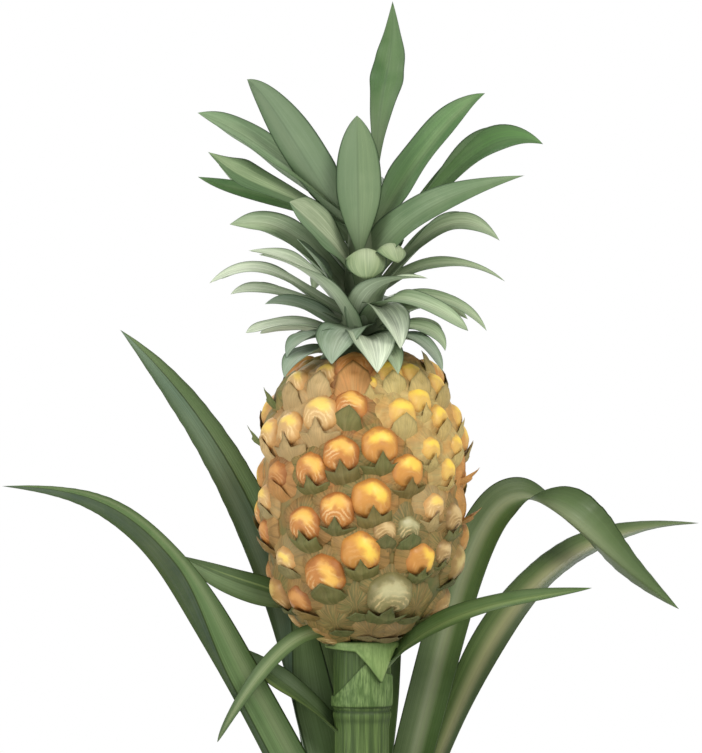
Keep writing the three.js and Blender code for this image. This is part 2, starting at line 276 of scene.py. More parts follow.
# The fold along a blade and the line along both its edges.
def makeBladeLineGroup():
    inputs = {"Across": 0.5, "Fold Width": 0.04, "Rim Width": 0.06}
    tree, given, result = newGroup("Blade lines", inputs, ("Fold", "Rim", "Side"))
    off = calc(tree, "ABSOLUTE", calc(tree, "SUBTRACT", given["Across"], 0.5))
    tree.links.new(ramp(tree, off, 0.0, given["Fold Width"], 1.0, 0.0), result["Fold"])
    inner = calc(tree, "SUBTRACT", 0.5, given["Rim Width"])
    tree.links.new(ramp(tree, off, inner, 0.5), result["Rim"])
    tree.links.new(ramp(tree, given["Across"], 0.47, 0.53), result["Side"])
    return tree


# Soft uneven patches in the object's own space.
def makeMottleGroup():
    inputs = {"Scale": 30.0, "Low": 0.4, "High": 0.62, "Stretch": (1.0, 1.0, 1.0)}
    tree, given, result = newGroup("Mottle", inputs, ("Mask", "Height"))
    where = addNode(tree, "ShaderNodeTexCoord").outputs["Object"]
    spread = wire(tree, "ShaderNodeVectorMath", {0: where, 1: given["Stretch"]}, operation="MULTIPLY")
    noise = {"Vector": spread, "Scale": given["Scale"], "Detail": 4.0, "Roughness": 0.55}
    level = wire(tree, "ShaderNodeTexNoise", noise)
    tree.links.new(ramp(tree, level, given["Low"], given["High"]), result["Mask"])
    tree.links.new(level, result["Height"])
    return tree


fibres = makeFibreGroup()
bladeLines = makeBladeLineGroup()
mottle = makeMottleGroup()


def grainOf(tree, count, run, broad):
    return useGroup(tree, fibres, {"Map": surfaceMap(tree), "Count": count, "Run": run, "Broad": broad})


# The finish of a blade: two half tints, its own colour together with painted light and shade either
# side of the fold, and a pale stripe, under streaks, fold, rims and painted shade toward both edges.
foliageFinish = {
    "fibreCount": 46, "fibreRun": 2.0, "broad": 7, "streakDepth": 0.34, "bandDepth": 0.34,
    "foldWidth": 0.035, "foldDepth": 0.9, "rimWidth": 0.035, "rimDepth": 0.9, "edgeShade": 0.72,
    "lineTint": paint(44, 62, 22), "deepTint": paint(58, 80, 36), "paleTint": paint(150, 166, 118),
    "underTint": paint(112, 130, 88), "rootTintAndShade": paint(146, 158, 112), "rootReach": 0.1,
    "roughness": 0.46, "bump": 0.35, "stripeEnd": 0.74, "paleDepth": 0.12, "rootDepth": 0.8,
    "underDepth": 0.35,
}
crownFinish = {
    **foliageFinish, "fibreCount": 34, "fibreRun": 2.6, "broad": 6, "streakDepth": 0.38, "bandDepth": 0.36,
    "foldWidth": 0.045, "foldDepth": 0.6, "rimWidth": 0.065, "edgeShade": 0.3,
    "lineTint": paint(58, 80, 52), "deepTint": paint(80, 106, 70), "paleTint": paint(190, 202, 162),
    # on the crown the root tint is painted shade that darkens the leaf bases round the heart
    "underTint": paint(132, 152, 118), "rootTintAndShade": paint(104, 114, 88), "rootReach": 0.4, "roughness": 0.52,
}


def makeLeafFinish(name, habit):
    finish, tree = newFinish(name, habit["roughness"])
    across, along = split(tree, surfaceMap(tree))[:2]
    grain = grainOf(tree, habit["fibreCount"], habit["fibreRun"], habit["broad"])
    widths = {"Across": across, "Fold Width": habit["foldWidth"], "Rim Width": habit["rimWidth"]}
    lines = useGroup(tree, bladeLines, widths)
    patches = useGroup(tree, mottle, {"Scale": 26.0})

    # the pale stripe: its place across the blade, its width and its strength come with each leaf
    stripe = split(tree, readMark(tree, "stripe", "Vector"))
    off = calc(tree, "ABSOLUTE", calc(tree, "SUBTRACT", across, stripe[0]))
    mask = times(tree, ramp(tree, off, 0.0, stripe[1], 1.0, 0.0), stripe[2])
    mask = times(tree, mask, ramp(tree, along, 1.0, habit["stripeEnd"]))
    mask = times(tree, mask, calc(tree, "MULTIPLY_ADD", grain["Streak"], 0.45, 0.6))
    # painted shade: the blade darkens toward both its edges
    edge = ramp(tree, calc(tree, "ABSOLUTE", calc(tree, "SUBTRACT", across, 0.5)), 0.22, 0.5)
    lined = times(tree, readMark(tree, "lined", "Fac"), habit["foldDepth"])

    # the two halves: the leaf's own colour together with painted light and shade either side of the fold
    tint = mixTint(tree, lines["Side"], readMark(tree, "leftTint"), readMark(tree, "rightTint"))
    tint = paintOver(
        tree, tint,
        (grain["Band"], habit["bandDepth"], habit["deepTint"]),
        (patches["Mask"], habit["paleDepth"], habit["paleTint"]),
        (mask, 1.0, readMark(tree, "stripeTint")),
        (grain["Streak"], habit["streakDepth"], habit["deepTint"]),
        # toward the root: a paler base colour on the foliage, painted shade on the crown leaves
        (ramp(tree, along, habit["rootReach"], 0.0), habit["rootDepth"], habit["rootTintAndShade"]),
        (readMark(tree, "under", "Fac"), habit["underDepth"], habit["underTint"]),
        (edge, habit["edgeShade"], habit["deepTint"]),
        (lines["Fold"], lined, habit["lineTint"]),
        (lines["Rim"], habit["rimDepth"], habit["lineTint"]),
    )
    rough = calc(tree, "MULTIPLY_ADD", grain["Streak"], 0.14, habit["roughness"] - 0.05)
    return dress(finish, tint, grain["Height"], habit["bump"], 0.5, rough)


foliageLook = makeLeafFinish("foliage blade", foliageFinish)
crownLook = makeLeafFinish("crown blade", crownFinish)


# The quads between closed rings of points, from the first ring to the last.
def ringFaces(rings, size, start=0):
    for ring in range(start, start + (rings - 1) * size, size):
        for corner in range(size):
            here, beside = ring + corner, ring + (corner + 1) % size
            yield here, beside, beside + size, here + size


# The centreline is a curve in the upright plane of the leaf's heading. It starts at root and base, its
# distance from the axis and its height, with the slope lift, and ends at reach and tip with the slope
# aim; swing turns the heading on its way. The blade is a gutter with a soft fold along that line.
leafHabit = {
    "root": 4, "swing": 0, "rise": 0.4, "droop": 0.35, "roll": 0, "rolled": 0.55, "turnOver": 0,
    "turnSpan": (0.4, 0.7), "widest": 0.35, "neck": 0.7, "taper": 1.9, "fold": 0.32, "foldAt": (0, 0),
    "foldSpan": (0.15, 0.85), "cup": 0, "cupAt": (0.7, 0.1), "round": 0,
    "thickness": 2.2, "stations": 56, "wave": 0.05, "waves": 3, "teeth": 0.0,
    "left": (86, 110, 64), "right": (92, 114, 68), "stripe": (0.5, 0.2, 0.0), "stripeTint": (170, 172, 132),
    "lined": 0.35,
}
bladeColumns = [-1, -0.94, -0.8, -0.6, -0.38, -0.18, -0.05, 0.05, 0.18, 0.38, 0.6, 0.8, 0.94, 1]
foldSoftness = 0.1


def bezier(start, first, second, end, shares):
    t = np.asarray(shares)[:, None]
    return (1 - t) ** 3 * start + 3 * (1 - t) ** 2 * t * first + 3 * (1 - t) * t * t * second + t ** 3 * end


def leafStations(leaf, shares):
    start = np.array([leaf["root"], leaf["base"]], float)
    tip = np.array([leaf["reach"], leaf["tip"]], float)
    span = np.linalg.norm(tip - start)
    lift, aim = math.radians(leaf["lift"]), math.radians(leaf["aim"])
    first = start + span * leaf["rise"] * np.array([math.cos(lift), math.sin(lift)])
    second = tip - span * leaf["droop"] * np.array([math.cos(aim), math.sin(aim)])

    def placed(t):
        point = bezier(start, first, second, tip, t)
        spot = outward(leaf["heading"] + leaf["swing"] * t * t) * point[:, :1]
        spot[:, 2] = point[:, 1]
        return spot

    step = 0.002
    centre = placed(shares)
    along = unit(placed(np.minimum(shares + step, 1)) - placed(np.maximum(shares - step, 0)))
    side = sideways(leaf["heading"] + leaf["swing"] * shares * shares)
    side = unit(side - along * np.sum(along * side, -1, keepdims=True))
    turn = leaf["roll"] * (smooth(shares, 0, leaf["rolled"]) if leaf["rolled"] > 0 else np.ones(len(shares)))
    turn = np.radians(turn + leaf["turnOver"] * smooth(shares, *leaf["turnSpan"]))[:, None]
    side = side * np.cos(turn) + np.cross(along, side) * np.sin(turn)
    up = np.cross(along, side)
    opening = leaf["neck"] + (1 - leaf["neck"]) * smooth(shares, 0, leaf["widest"])
    beyond = np.maximum(0, (shares - leaf["widest"]) / (1 - leaf["widest"]))
    half = leaf["width"] / 2 * opening * (1 - beyond ** leaf["taper"])
    low, high = leaf["foldAt"]
    foldShift = low + (high - low) * smooth(shares, *leaf["foldSpan"])
    return centre, side, up, half, foldShift


def addBlade(heap, leaf, phase):
    stations = leaf["stations"]
    shares = np.arange(stations + 1) / stations
    centre, side, up, half, foldShift = leafStations(leaf, shares)
    columns = np.array(bladeColumns)
    size = np.abs(columns)
    gutter = np.sqrt(size ** 2 + foldSoftness ** 2) - foldSoftness
    gutter /= math.hypot(1, foldSoftness) - foldSoftness
    gutter += leaf["round"] * (size ** 2 - gutter)
    body = 0.12 + 0.88 * (1 - size ** 1.7)
    points, uv, under = [], [], []
    for station, share in enumerate(shares[:-1]):
        thick = leaf["thickness"] * (1 - 0.6 * share) / 2
        ripple = np.sin(2 * math.pi * (share * leaf["waves"] + phase) + 1.7 * np.sign(columns)) * size ** 2
        tooth = 1 + leaf["teeth"] * (0.5 - (share * 31 % 1)) * smooth(share, 0.55, 0.8)
        cupped = leaf["cup"] * math.exp(-((share - leaf["cupAt"][0]) / leaf["cupAt"][1]) ** 2)
        ripple = leaf["wave"] * ripple * smooth(share, 0, 0.25)
        height = half[station] * ((leaf["fold"] + cupped) * gutter + ripple)
        across = columns + foldShift[station] * (1 - size)
        spot = centre[station] + np.outer(across * half[station] * tooth, side[station])
        top = spot + np.outer(height + thick * body, up[station])
        low = spot + np.outer(height - thick * body, up[station])
        ring = [*top, *low[-2:0:-1]]
        points.extend(ring)
        places = [*columns, *columns[-2:0:-1]]
        uv.extend((0.5 + 0.5 * place, share) for place in places)
        under.extend([0.0] * len(columns) + [1.0] * (len(columns) - 2))
    ringSize = 2 * len(columns) - 2
    faces = [tuple(range(ringSize)), *ringFaces(stations, ringSize)]
    points.append(centre[-1])
    uv.append((0.5, 1.0))
    under.append(0.0)
    tip = stations * ringSize
    last = tip - ringSize
    faces.extend((last + corner, last + (corner + 1) % ringSize, tip) for corner in range(ringSize))
    many = len(points)
    marks = {
        "leftTint": [paint(*leaf["left"])] * many,
        "rightTint": [paint(*leaf["right"])] * many,
        "stripe": [leaf["stripe"]] * many,
        "stripeTint": [paint(*leaf["stripeTint"])] * many,
        "lined": [leaf["lined"]] * many,
        "under": under,
    }
    addToHeap(heap, points, faces, uv, marks)


def makeLeaves(name, habit, rows, finish, slot, nodes, seed):
    draw = random.Random(seed)
    heap = newHeap()
    for row in rows:
        addBlade(heap, {**leafHabit, **habit, **row}, draw.random())
    settle(heapToPiece(heap, name, finish), slot, *nodes)


# A leaf's row: the eight values that every leaf needs, its tints, and what else it changes of the
# habit. The tints are the two halves of the blade, its own colour together with painted light and
# shade either side of the fold, then the stripe's place, width and strength, and the stripe itself;
# they can be a name from the table of tints.
leafKeys = ("heading", "base", "lift", "reach", "tip", "aim", "width", "roll", "tints", "more")
tintKeys = ("left", "right", "stripe", "stripeTint")
leafTints = {
    "fresh": ((86, 126, 70), (100, 138, 80), (0.5, 0.22, 0.4), (146, 168, 118)),
    "vivid": ((58, 98, 42), (66, 106, 48), (0.35, 0.2, 0.3), (112, 142, 90)),
    "deep": ((76, 116, 60), (90, 132, 70), (0.4, 0.2, 0.35), (126, 154, 104)),
    "lime": ((102, 124, 86), (112, 134, 92), (0.5, 0.1, 0.4), (94, 112, 78)),
    "grey": ((96, 116, 90), (110, 130, 102), (0.3, 0.3, 0.45), (158, 170, 140)),
    "moss": ((98, 124, 84), (112, 136, 98), (0.5, 0.25, 0.35), (146, 162, 126)),
    "soft": ((138, 166, 124), (144, 172, 130), (0.4, 0.3, 0.5), (162, 180, 142)),
    "split": ((154, 176, 132), (114, 142, 102), (0.35, 0.2, 0.5), (168, 184, 142)),
    "faded": ((180, 192, 158), (134, 158, 124), (0.4, 0.3, 0.5), (186, 196, 164)),
    "mist": ((220, 232, 206), (222, 234, 204), (0.5, 0.3, 0.6), (222, 228, 208)),
    "straw": ((150, 166, 122), (156, 172, 128), (0.5, 0.5, 0.7), (206, 214, 180)),
    "sage": ((166, 184, 150), (176, 194, 156), (0.5, 0.3, 0.5), (206, 216, 182)),
    "pale": ((232, 242, 216), (234, 244, 218), (0.5, 0.3, 0.5), (234, 238, 220)),
    "blue": ((154, 170, 152), (166, 182, 160), (0.5, 0.3, 0.6), (196, 204, 184)),
}


def leafRow(row):
    leaf = dict(zip(leafKeys, row))
    tints, more = leaf.pop("tints", ()), leaf.pop("more", {})
    return {**leaf, **dict(zip(tintKeys, leafTints.get(tints, tints))), **more}


# Leaves that rise round the fruit.
risingRows = [
    (133.8, 20, 72.6, 193.9, 235, -37.4, 25, 42.2,
     ((84, 112, 58), (86, 106, 60), (0.46, 0.24, 0.85), (170, 178, 142)),
     {"swing": -35.9, "rise": 1.389, "droop": 0.437, "neck": 1.033, "rolled": 0.2, "turnOver": -81.3,
      "turnSpan": (0.56, 0.78), "cup": 1, "cupAt": (0.761, 0.096), "widest": 0.75, "taper": 2.815,
      "stations": 110, "lined": 0.1}),
    (128, 33, 61.4, 243.3, 284.4, 1.2, 28, 16.4,
     ((88, 108, 60), (100, 122, 68), (0.48, 0.32, 1.0), (188, 186, 140)),
     {"swing": -8, "rise": 0.466, "droop": 0.424, "neck": 0.5, "widest": 0.623, "taper": 3.13,
      "rolled": 0.555, "lined": 0.12, "stations": 80}),
    (-85.8, 62.7, 62.1, 220.9, 311.5, 4.6, 30.3, -53.2,
     ((92, 122, 70), (76, 92, 80), (0.2, 0.16, 0.5), (150, 162, 120)),
     {"swing": 12.4, "rise": 0.74, "droop": 0.295, "neck": 0.4, "widest": 0.1, "taper": 1.9, "rolled": 0.109,
      "foldAt": (0.5, -0.45), "foldSpan": (0.25, 0.48), "lined": 1.0, "stations": 80}),
    (-125.6, 53.2, 74.7, 154.3, 404.4, 47.2, 27, -40.7,
     ((100, 124, 76), (120, 144, 122), (0.8, 0.18, 0.5), (146, 166, 140)),
     {"swing": 18.2, "rise": 0.309, "droop": 0.406, "neck": 0.96, "widest": 0.505, "taper": 4.5,
      "rolled": 0.415, "foldAt": (0.9, -0.3), "foldSpan": (0.34, 0.56), "lined": 1.0, "stations": 80}),
    (-150, 48, 68, 110, 338, 66, 38, -12, ((112, 136, 86), (116, 140, 88)), {"neck": 0.8}),
    (168, 70, 78, 130, 360, 50, 34, 0),
    (-172, 26, 70, 170, 300, 10, 36, 0),
]
risingNodes = [
    "leaf_arching_right_foot", "leaf_arching_right_end", "leaf_right", "leaf_left", "leaf_tall_left",
    "leaf_broad_left", "leaf_back_right", "leaf_back_left",
]
risingLeaves = map(leafRow, risingRows)
makeLeaves("rising_leaves", {"teeth": 0.05}, risingLeaves, foliageLook, "foliage", risingNodes, 3)

# Leaves on the stalk, under the fruit.
stalkRows = {
    "leaf_under_fruit_left": (
        -90.1, 191.9, 66.9, 111.2, 269, 34.5, 25, -54.3,
        ((62, 90, 42), (118, 142, 102), (0.35, 0.05, 0.6), (160, 178, 108)),
        {"rise": 0.54, "droop": 0.548, "neck": 0.41, "widest": 0.427, "taper": 3.8, "rolled": 0.92,
         "foldAt": (-0.3, -0.3)}),
    "leaf_under_fruit_right": (
        68.8, 181.6, 66.2, 138.5, 248.8, 6.8, 17, 43.4,
        ((100, 130, 72), (80, 108, 54), (0.4, 0.24, 0.8), (138, 156, 96)),
        {"swing": 23.8, "rise": 0.418, "droop": 0.258, "neck": 0.82, "widest": 0.266, "taper": 2.3,
         "rolled": 0.31}),
    "leaf_curled_down": (
        -57, 212.6, 39.1, 86.7, 156.8, -72.6, 12, -38.5,
        ((84, 106, 62), (96, 118, 70), (0.5, 0.3, 0.8), (152, 164, 118)),
        {"swing": -30.8, "rise": 0.623, "droop": 0.12, "neck": 0.62, "widest": 0.1, "taper": 2.7,
         "rolled": 0.144}),
    "leaf_short_left": (
        -97, 149.6, 51, 79, 214.2, 44.1, 19, -68.1,
        ((80, 100, 66), (86, 108, 66), (0.93, 0.16, 0.9), (156, 176, 100)),
        {"rise": 0.508, "droop": 0.12, "neck": 1.1, "widest": 0.09, "taper": 2, "rolled": 0.714}),
}
stalkLeaves = map(leafRow, stalkRows.values())
makeLeaves("stalk_leaves", {"wave": 0.04}, stalkLeaves, foliageLook, "foliage", list(stalkRows), 5)

# Low leaves: evenly turned about the stem, each a little lower and longer than the one before.
goldenAngle = 137.508
lowLeaves = {"count": 14, "heading": 30, "tints": [(84, 106, 66), (96, 116, 78), (76, 98, 66)]}
highestLow = {"base": 74, "lift": 56, "reach": 168, "tip": 96, "aim": -34}
lowestLow = {"base": 12, "lift": 22, "reach": 226, "tip": 16, "aim": -30}


def lowRows(habit):
    rows = []
    for index in range(habit["count"]):
        share = index / (habit["count"] - 1)
        row = {key: highestLow[key] + (lowestLow[key] - highestLow[key]) * share for key in highestLow}
        row["heading"] = habit["heading"] + goldenAngle * index
        row["left"] = habit["tints"][index % 3]
        row["right"] = habit["tints"][(index + 1) % 3]
        row["stripe"] = (0.45, 0.3, 0.3 + 0.1 * (index % 4))
        rows.append(row)
    return rows


lowNodes = [f"leaf_low_{index + 1:02d}" for index in range(lowLeaves["count"])]
makeLeaves("low_leaves", {"width": 34, "neck": 0.95}, lowRows(lowLeaves), foliageLook, "foliage", lowNodes, 7)

# Crown: leaves from upright at the top to drooping over the fruit's shoulders.
crownHabit = {
    "root": 7, "thickness": 1.6, "neck": 0.75, "widest": 0.42, "taper": 2.2, "rolled": 0, "stations": 36,
    "wave": 0.06, "waves": 2,
}
# Which front leaves the back repeats (heading within the limit, reaching past the least), how it
# changes them, and the point of view for which their tips stand behind the front ones.
crownBack = {
    "limit": 86, "least": 42, "narrower": 0.84, "shorter": 9, "lower": 3, "dip": 2,
    "viewDistance": 3000, "viewHeight": 376,
}
crownRows = [
    (151.9, 474, 85.3, 39.6, 603.7, 88.6, 20.4, 41.9, "vivid",
     {"root": 14, "widest": 0.52, "neck": 0.12, "taper": 2.4, "rise": 0.77, "droop": 0.46, "wave": 0.14,
      "waves": 4}),
    (-4.6, 442, 54.8, 38.3, 530.5, 73.9, 27.4, -1, "lime",
     {"root": 14, "widest": 0.5, "neck": 0.05, "rise": 0.29, "droop": 0.2}),
    (-61.8, 465.8, 47.8, 77.4, 552, 25.9, 26.5, 44.4, "grey",
     {"widest": 0.33, "neck": 0.3, "rise": 0.36, "droop": 0.16}),
    (67.2, 460.4, 57.4, 79.2, 544.1, 26.8, 30.8, 55.5, "fresh",
     {"widest": 0.4, "neck": 0.3, "rise": 0.27, "droop": 0.26}),
    (85.8, 449.4, 42.8, 108.7, 514.9, -21.1, 25, 41.5, "deep",
     {"widest": 0.61, "neck": 0.3, "rise": 0.57, "droop": 0.31}),
    (-82.7, 473.9, 35.8, 99.1, 533.5, 22.9, 25.2, -37.6, "soft",
     {"widest": 0.6, "neck": 0.8, "rise": 0.55, "droop": 0.28}),
    (-79.3, 467.9, 23, 93.5, 509.8, 41.3, 26.8, -41, "split",
     {"widest": 0.5, "neck": 0.3, "rise": 0.75, "droop": 0.32, "root": 9}),
    (-94.1, 456.7, 60, 99, 496, 21.9, 12, -63.7, "fresh", {"widest": 0.6, "neck": 0.56, "rise": 0.3}),
    (-48.2, 440.2, 53.2, 57.8, 479.3, 42.6, 30.5, -64, "faded",
     {"root": 10, "widest": 0.6, "neck": 0.48, "rise": 0.34, "droop": 0.24}),
    (-79, 423.9, 51.6, 80.6, 466.7, -2.8, 19.7, -51, "sage", {"rise": 0.75, "droop": 0.24}),
    (-34, 406, 54, 81, 450.3, 10, 31, -34, "mist",
     {"root": 13, "swing": -22, "widest": 0.2, "neck": 0.8, "rise": 0.4, "droop": 0.2}),
    (-81.7, 411.9, 26.7, 92.3, 431.5, -30.6, 11.4, -35.5, "pale",
     {"widest": 0.75, "neck": 0.86, "rise": 0.52, "droop": 0.46}),
    (-84.8, 408.2, 25.3, 79.1, 425.1, -23.7, 10.6, -34.9, "pale",
     {"widest": 0.75, "neck": 0.92, "rise": 0.5, "droop": 0.27}),
    (-72, 402, 28, 61, 419, -18, 15, -40, "blue"),
    (-76.4, 395, 36.3, 71.4, 402, -9.7, 13.1, -23.9, "pale",
     {"widest": 0.69, "neck": 1, "rise": 0.56, "droop": 0.18}),
    (-52, 400, 0, 57, 387, -60, 24, 0, "blue"),
    (-46, 390, 4, 64, 375, -62, 26, 0, "blue"),
    (-18, 404, 0, 58, 383, -60, 32, 0, "blue"),
    (8, 398, 8, 64, 378, -72, 30, 0, "pale"),
    (22, 414, 22, 60, 392, -78, 23, 0, "pale"),
    (20, 392, 8, 62, 377, -65, 18, 0, "sage"),
    (46, 396, 24, 66, 379, -58, 20, 0, "blue"),
    (64, 396, 44, 55, 391, -76, 18, 20, "sage"),
    (74, 404, 30, 50, 414, -40, 19, 30, "sage"),
    (22, 407, 52, 92.8, 402.6, -85, 18.5, 20.3, "sage",
     {"root": 13, "swing": 20, "taper": 3.5, "widest": 0.16, "neck": 1, "droop": 0.21}),
    (72, 414, 36, 78, 403, -54, 13, 30, "sage"),
    (90, 423.4, 42.7, 85.8, 433, -33.8, 14.6, 30, "sage", {"widest": 0.15, "neck": 0.73, "rise": 0.45}),
    (85.8, 425.8, 51.3, 82.6, 457.3, -39.7, 17, 41.7, "sage", {"widest": 0.53, "neck": 0.34, "rise": 0.71}),
    (38.6, 441.9, 37.4, 107.8, 494.5, 13.1, 31.5, 69.3, "moss",
     {"swing": 24, "root": 8, "widest": 0.15, "neck": 0.55, "rise": 0.2, "droop": 0.57}),
    (29, 424, 68, 44, 443, -80, 21, 0, "straw",
     {"root": 10, "neck": 0.2, "widest": 0.62, "taper": 5, "fold": -0.5, "round": 1, "rise": 0.8,
      "droop": 0.6}),
    (4, 410, 80, 41, 433, -88, 25, 0, "straw",
     {"root": 9, "neck": 0.25, "widest": 0.62, "taper": 9, "fold": -0.55, "round": 1, "rise": 1.0,
      "droop": 0.9, "wave": 0.1}),
    (-62, 418, 50, 44, 458, 40, 20, -30, "blue", {"root": 9, "neck": 0.8}),
    (2, 403, 58, 56, 434, -20, 25, 16, "mist",
     {"root": 13, "swing": 42, "widest": 0.3, "neck": 0.7, "rise": 0.4, "droop": 0.2}),
    (176, 452, 55, 88, 500, 10, 26, 0, "lime"),
    (188, 425, 45, 90, 452, -30, 24, 0, "sage"),
    (170, 400, 30, 86, 412, -60, 22, 0, "pale"),
    (202, 408, 40, 80, 428, -45, 22, 0, "sage"),
    (156, 408, 40, 70, 412, -55, 20, 0, "moss"),
]


def crownLeafRows(habit):
    front = [leafRow(row) for row in crownRows]
    back = []
    for row in front:
        if abs(row["heading"]) >= habit["limit"] or row["reach"] <= habit["least"]:
            continue
        farther = 2 * row["reach"] * math.cos(math.radians(row["heading"])) / habit["viewDistance"]
        aim = math.radians(row["aim"])
        reach = row["reach"] * (1 + farther) - habit["shorter"] * math.cos(aim)
        tip = row["tip"] + (row["tip"] - habit["viewHeight"]) * farther - habit["shorter"] * math.sin(aim)
        back.append({
            **row, "heading": 180 - row["heading"], "roll": -row["roll"], "swing": -row.get("swing", 0),
            "width": row["width"] * habit["narrower"], "reach": reach, "tip": tip - habit["dip"],
            "base": row["base"] - habit["lower"],
        })
    return front + back


crownLeaves = crownLeafRows(crownBack)
makeLeaves("crown_leaves", crownHabit, crownLeaves, crownLook, "crown_foliage", ["crown"], 11)


# A piece turned round the plant's own axis: outline(share) gives radius and height up the side, and
# relief(angle, share) what stands out of it.
def makeTurned(name, outline, relief, rows, segments, finish, slot, node, marks=None):
    angles = np.linspace(0, 2 * math.pi, segments, endpoint=False)
    points, uv = [], []
    for share in np.linspace(0, 1, rows + 1):
        radius, height = outline(share)
        for angle in angles:
            wide = radius + relief(angle, share)
            points.append(np.array([math.sin(angle) * wide, -math.cos(angle) * wide, height]))
            uv.append((abs(angle / math.pi - 1), share))
    faces = [*ringFaces(rows + 1, segments), tuple(reversed(range(segments)))]
    faces.append(tuple(range(rows * segments, (rows + 1) * segments)))
    settle(heapToPiece(heapOf(points, faces, uv, marks), name, finish), slot, node)


def jitter(angle, share, seed):
    # a smooth uneven value round a body, from -1 to 1
    total = 0
    for order in range(1, 5):
        total += math.sin(order * 3 * angle + seed * order * 1.7 + 9 * share * order) / order
    return total / 2


# Stem: a short trunk with a spread foot, ringed by the scars of old leaves and their fibres.
stem = {
    "height": 92, "radius": 23, "taper": 3, "flare": 9, "scars": 7, "scarRise": 1.4, "fibreRise": 0.35,
    "bark": paint(120, 98, 66), "moss": paint(86, 84, 50), "crack": paint(70, 54, 36),
}


def makeStemFinish(habit):
    finish, tree = newFinish("stem skin", 0.85)
    patches = useGroup(tree, mottle, {"Scale": 60.0, "Stretch": (1.0, 1.0, 0.35)})
    fine = useGroup(tree, mottle, {"Scale": 240.0, "Stretch": (1.0, 1.0, 0.1)})
    tint = mixTint(tree, patches["Mask"], habit["bark"], habit["moss"])
    tint = paintOver(tree, tint, (fine["Mask"], 0.6, habit["crack"]))
    return dress(finish, tint, fine["Height"], 0.8, 1.0)


def makeStem(habit):
    def outline(share):
        flare = habit["flare"] * (1 - smooth(share, 0, 0.3))
        return habit["radius"] + flare - habit["taper"] * share, share * habit["height"]

    def relief(angle, share):
        place = share * habit["scars"] + 0.16 * math.sin(2 * angle)
        scar = habit["scarRise"] * (place % 1) ** 3
        return scar - 0.5 + habit["fibreRise"] * jitter(angle * 4, share, 2)

    makeTurned("stem_body", outline, relief, 84, 120, makeStemFinish(habit), "stem", "stem")


makeStem(stem)

# Peduncle: the stalk that carries the fruit, with fine ribs and a raised joint part of the way up.
peduncle = {
    "foot": 92.3, "top": 217.7, "radius": 17, "joint": 174, "swell": 0.5, "groove": 0.9, "slim": 0.8,
    "ribs": 34, "ribRise": 0.16,
    "light": paint(104, 128, 68), "middle": paint(72, 94, 44), "dark": paint(42, 62, 24), "contrast": 0.6,
}
edgeLine = paint(40, 58, 24)


def makeStalkFinish(name, habit):
    finish, tree = newFinish(name, 0.55)
    grain = grainOf(tree, 60.0, 3.0, 14.0)
    tint = mixTint(tree, grain["Band"], habit["light"], habit["middle"])
    tint = paintOver(tree, tint, (grain["Streak"], habit["contrast"], habit["dark"]))
    tint = mixTint(tree, readMark(tree, "line", "Fac"), tint, edgeLine)
    return dress(finish, tint, grain["Height"], 0.4, 0.6)


def makePeduncle(habit):
    tall = habit["top"] - habit["foot"]

    def outline(share):
        height = habit["foot"] + share * tall
        over = height - habit["joint"]
        swelling = habit["swell"] * math.exp(-((over + 1.0) / 3.2) ** 2)
        groove = habit["groove"] * math.exp(-((over - 1.6) / 0.8) ** 2)
        slim = habit["slim"] * (1 - smooth(height, habit["joint"] - 12, habit["joint"] + 3))
        return habit["radius"] - slim + swelling - groove, height

    def relief(angle, share):
        return habit["ribRise"] * math.sin(habit["ribs"] * angle) + 0.2 * jitter(angle, share, 5)

    rows, segments = 160, 144
    lines = []
    for row in range(rows + 1):
        over = habit["foot"] + tall * row / rows - habit["joint"]
        depth = max(math.exp(-((over - 1.4) / 1.0) ** 2), 0.5 * math.exp(-((over + 4) / 1.6) ** 2))
        lines.extend([0.85 * depth] * segments)
    look = makeStalkFinish("stalk skin", habit)
    makeTurned("peduncle_stalk", outline, relief, rows, segments, look, "stalk", "peduncle", {"line": lines})


makePeduncle(peduncle)


# The faces of two sheets of points, one over the other, closed along their edges.
def sheetFaces(rows, stride):
    sheet, last = stride * (rows + 1), stride - 1
    faces = []
    for row in range(rows):
        for here in range(row * stride, row * stride + last):
            quad = (here, here + 1, here + 1 + stride, here + stride)
            faces.append(quad)
            faces.append(tuple(sheet + corner for corner in reversed(quad)))
    rim = [*range(stride), *(row * stride + last for row in range(1, rows + 1)),
           *(rows * stride + column for column in range(last - 1, -1, -1)),
           *(row * stride for row in range(rows - 1, 0, -1))]
    for here, after in zip(rim, rim[1:] + rim[:1]):
        faces.append((here, sheet + here, sheet + after, after))
    return faces


# A pointed wrap round the front of the stalk, between a lower and an upper edge seen from the front.
def makeWrap(name, habit, look, node):
    columns, rows = 72, 18
    inner, outer = habit["inner"], habit["inner"] + habit["thickness"]
    angles = np.radians(np.linspace(-habit["spread"], habit["spread"], columns + 1))
    points, uv, lines = [], [], []
    for radius in (outer, inner):
        for row in range(rows + 1):
            share = row / rows
            for column, angle in enumerate(angles):
                x = math.sin(angle) * outer
                low, high = (np.interp(x, *zip(*habit[side])) for side in ("low", "high"))
                bulge = habit["bulge"] * math.sin(math.pi * min(1, share * 1.1)) if radius == outer else 0
                lip = 0 if radius == inner else -0.5 * (1 - smooth(min(share, 1 - share), 0, 0.12))
                wide = radius + bulge + lip
                level = low + (high - low) * share
                points.append(np.array([math.sin(angle) * wide, -math.cos(angle) * wide, level]))
                uv.append((column / columns, share))
                edge = min(share, 1 - share) * (high - low)
                lines.append(float(habit["edgeDark"] * (1 - smooth(edge, 0, 1.1))))
    heap = heapOf(points, sheetFaces(rows, columns + 1), uv, {"line": lines})
    settle(heapToPiece(heap, name, makeStalkFinish(look, habit)), "stalk", node)


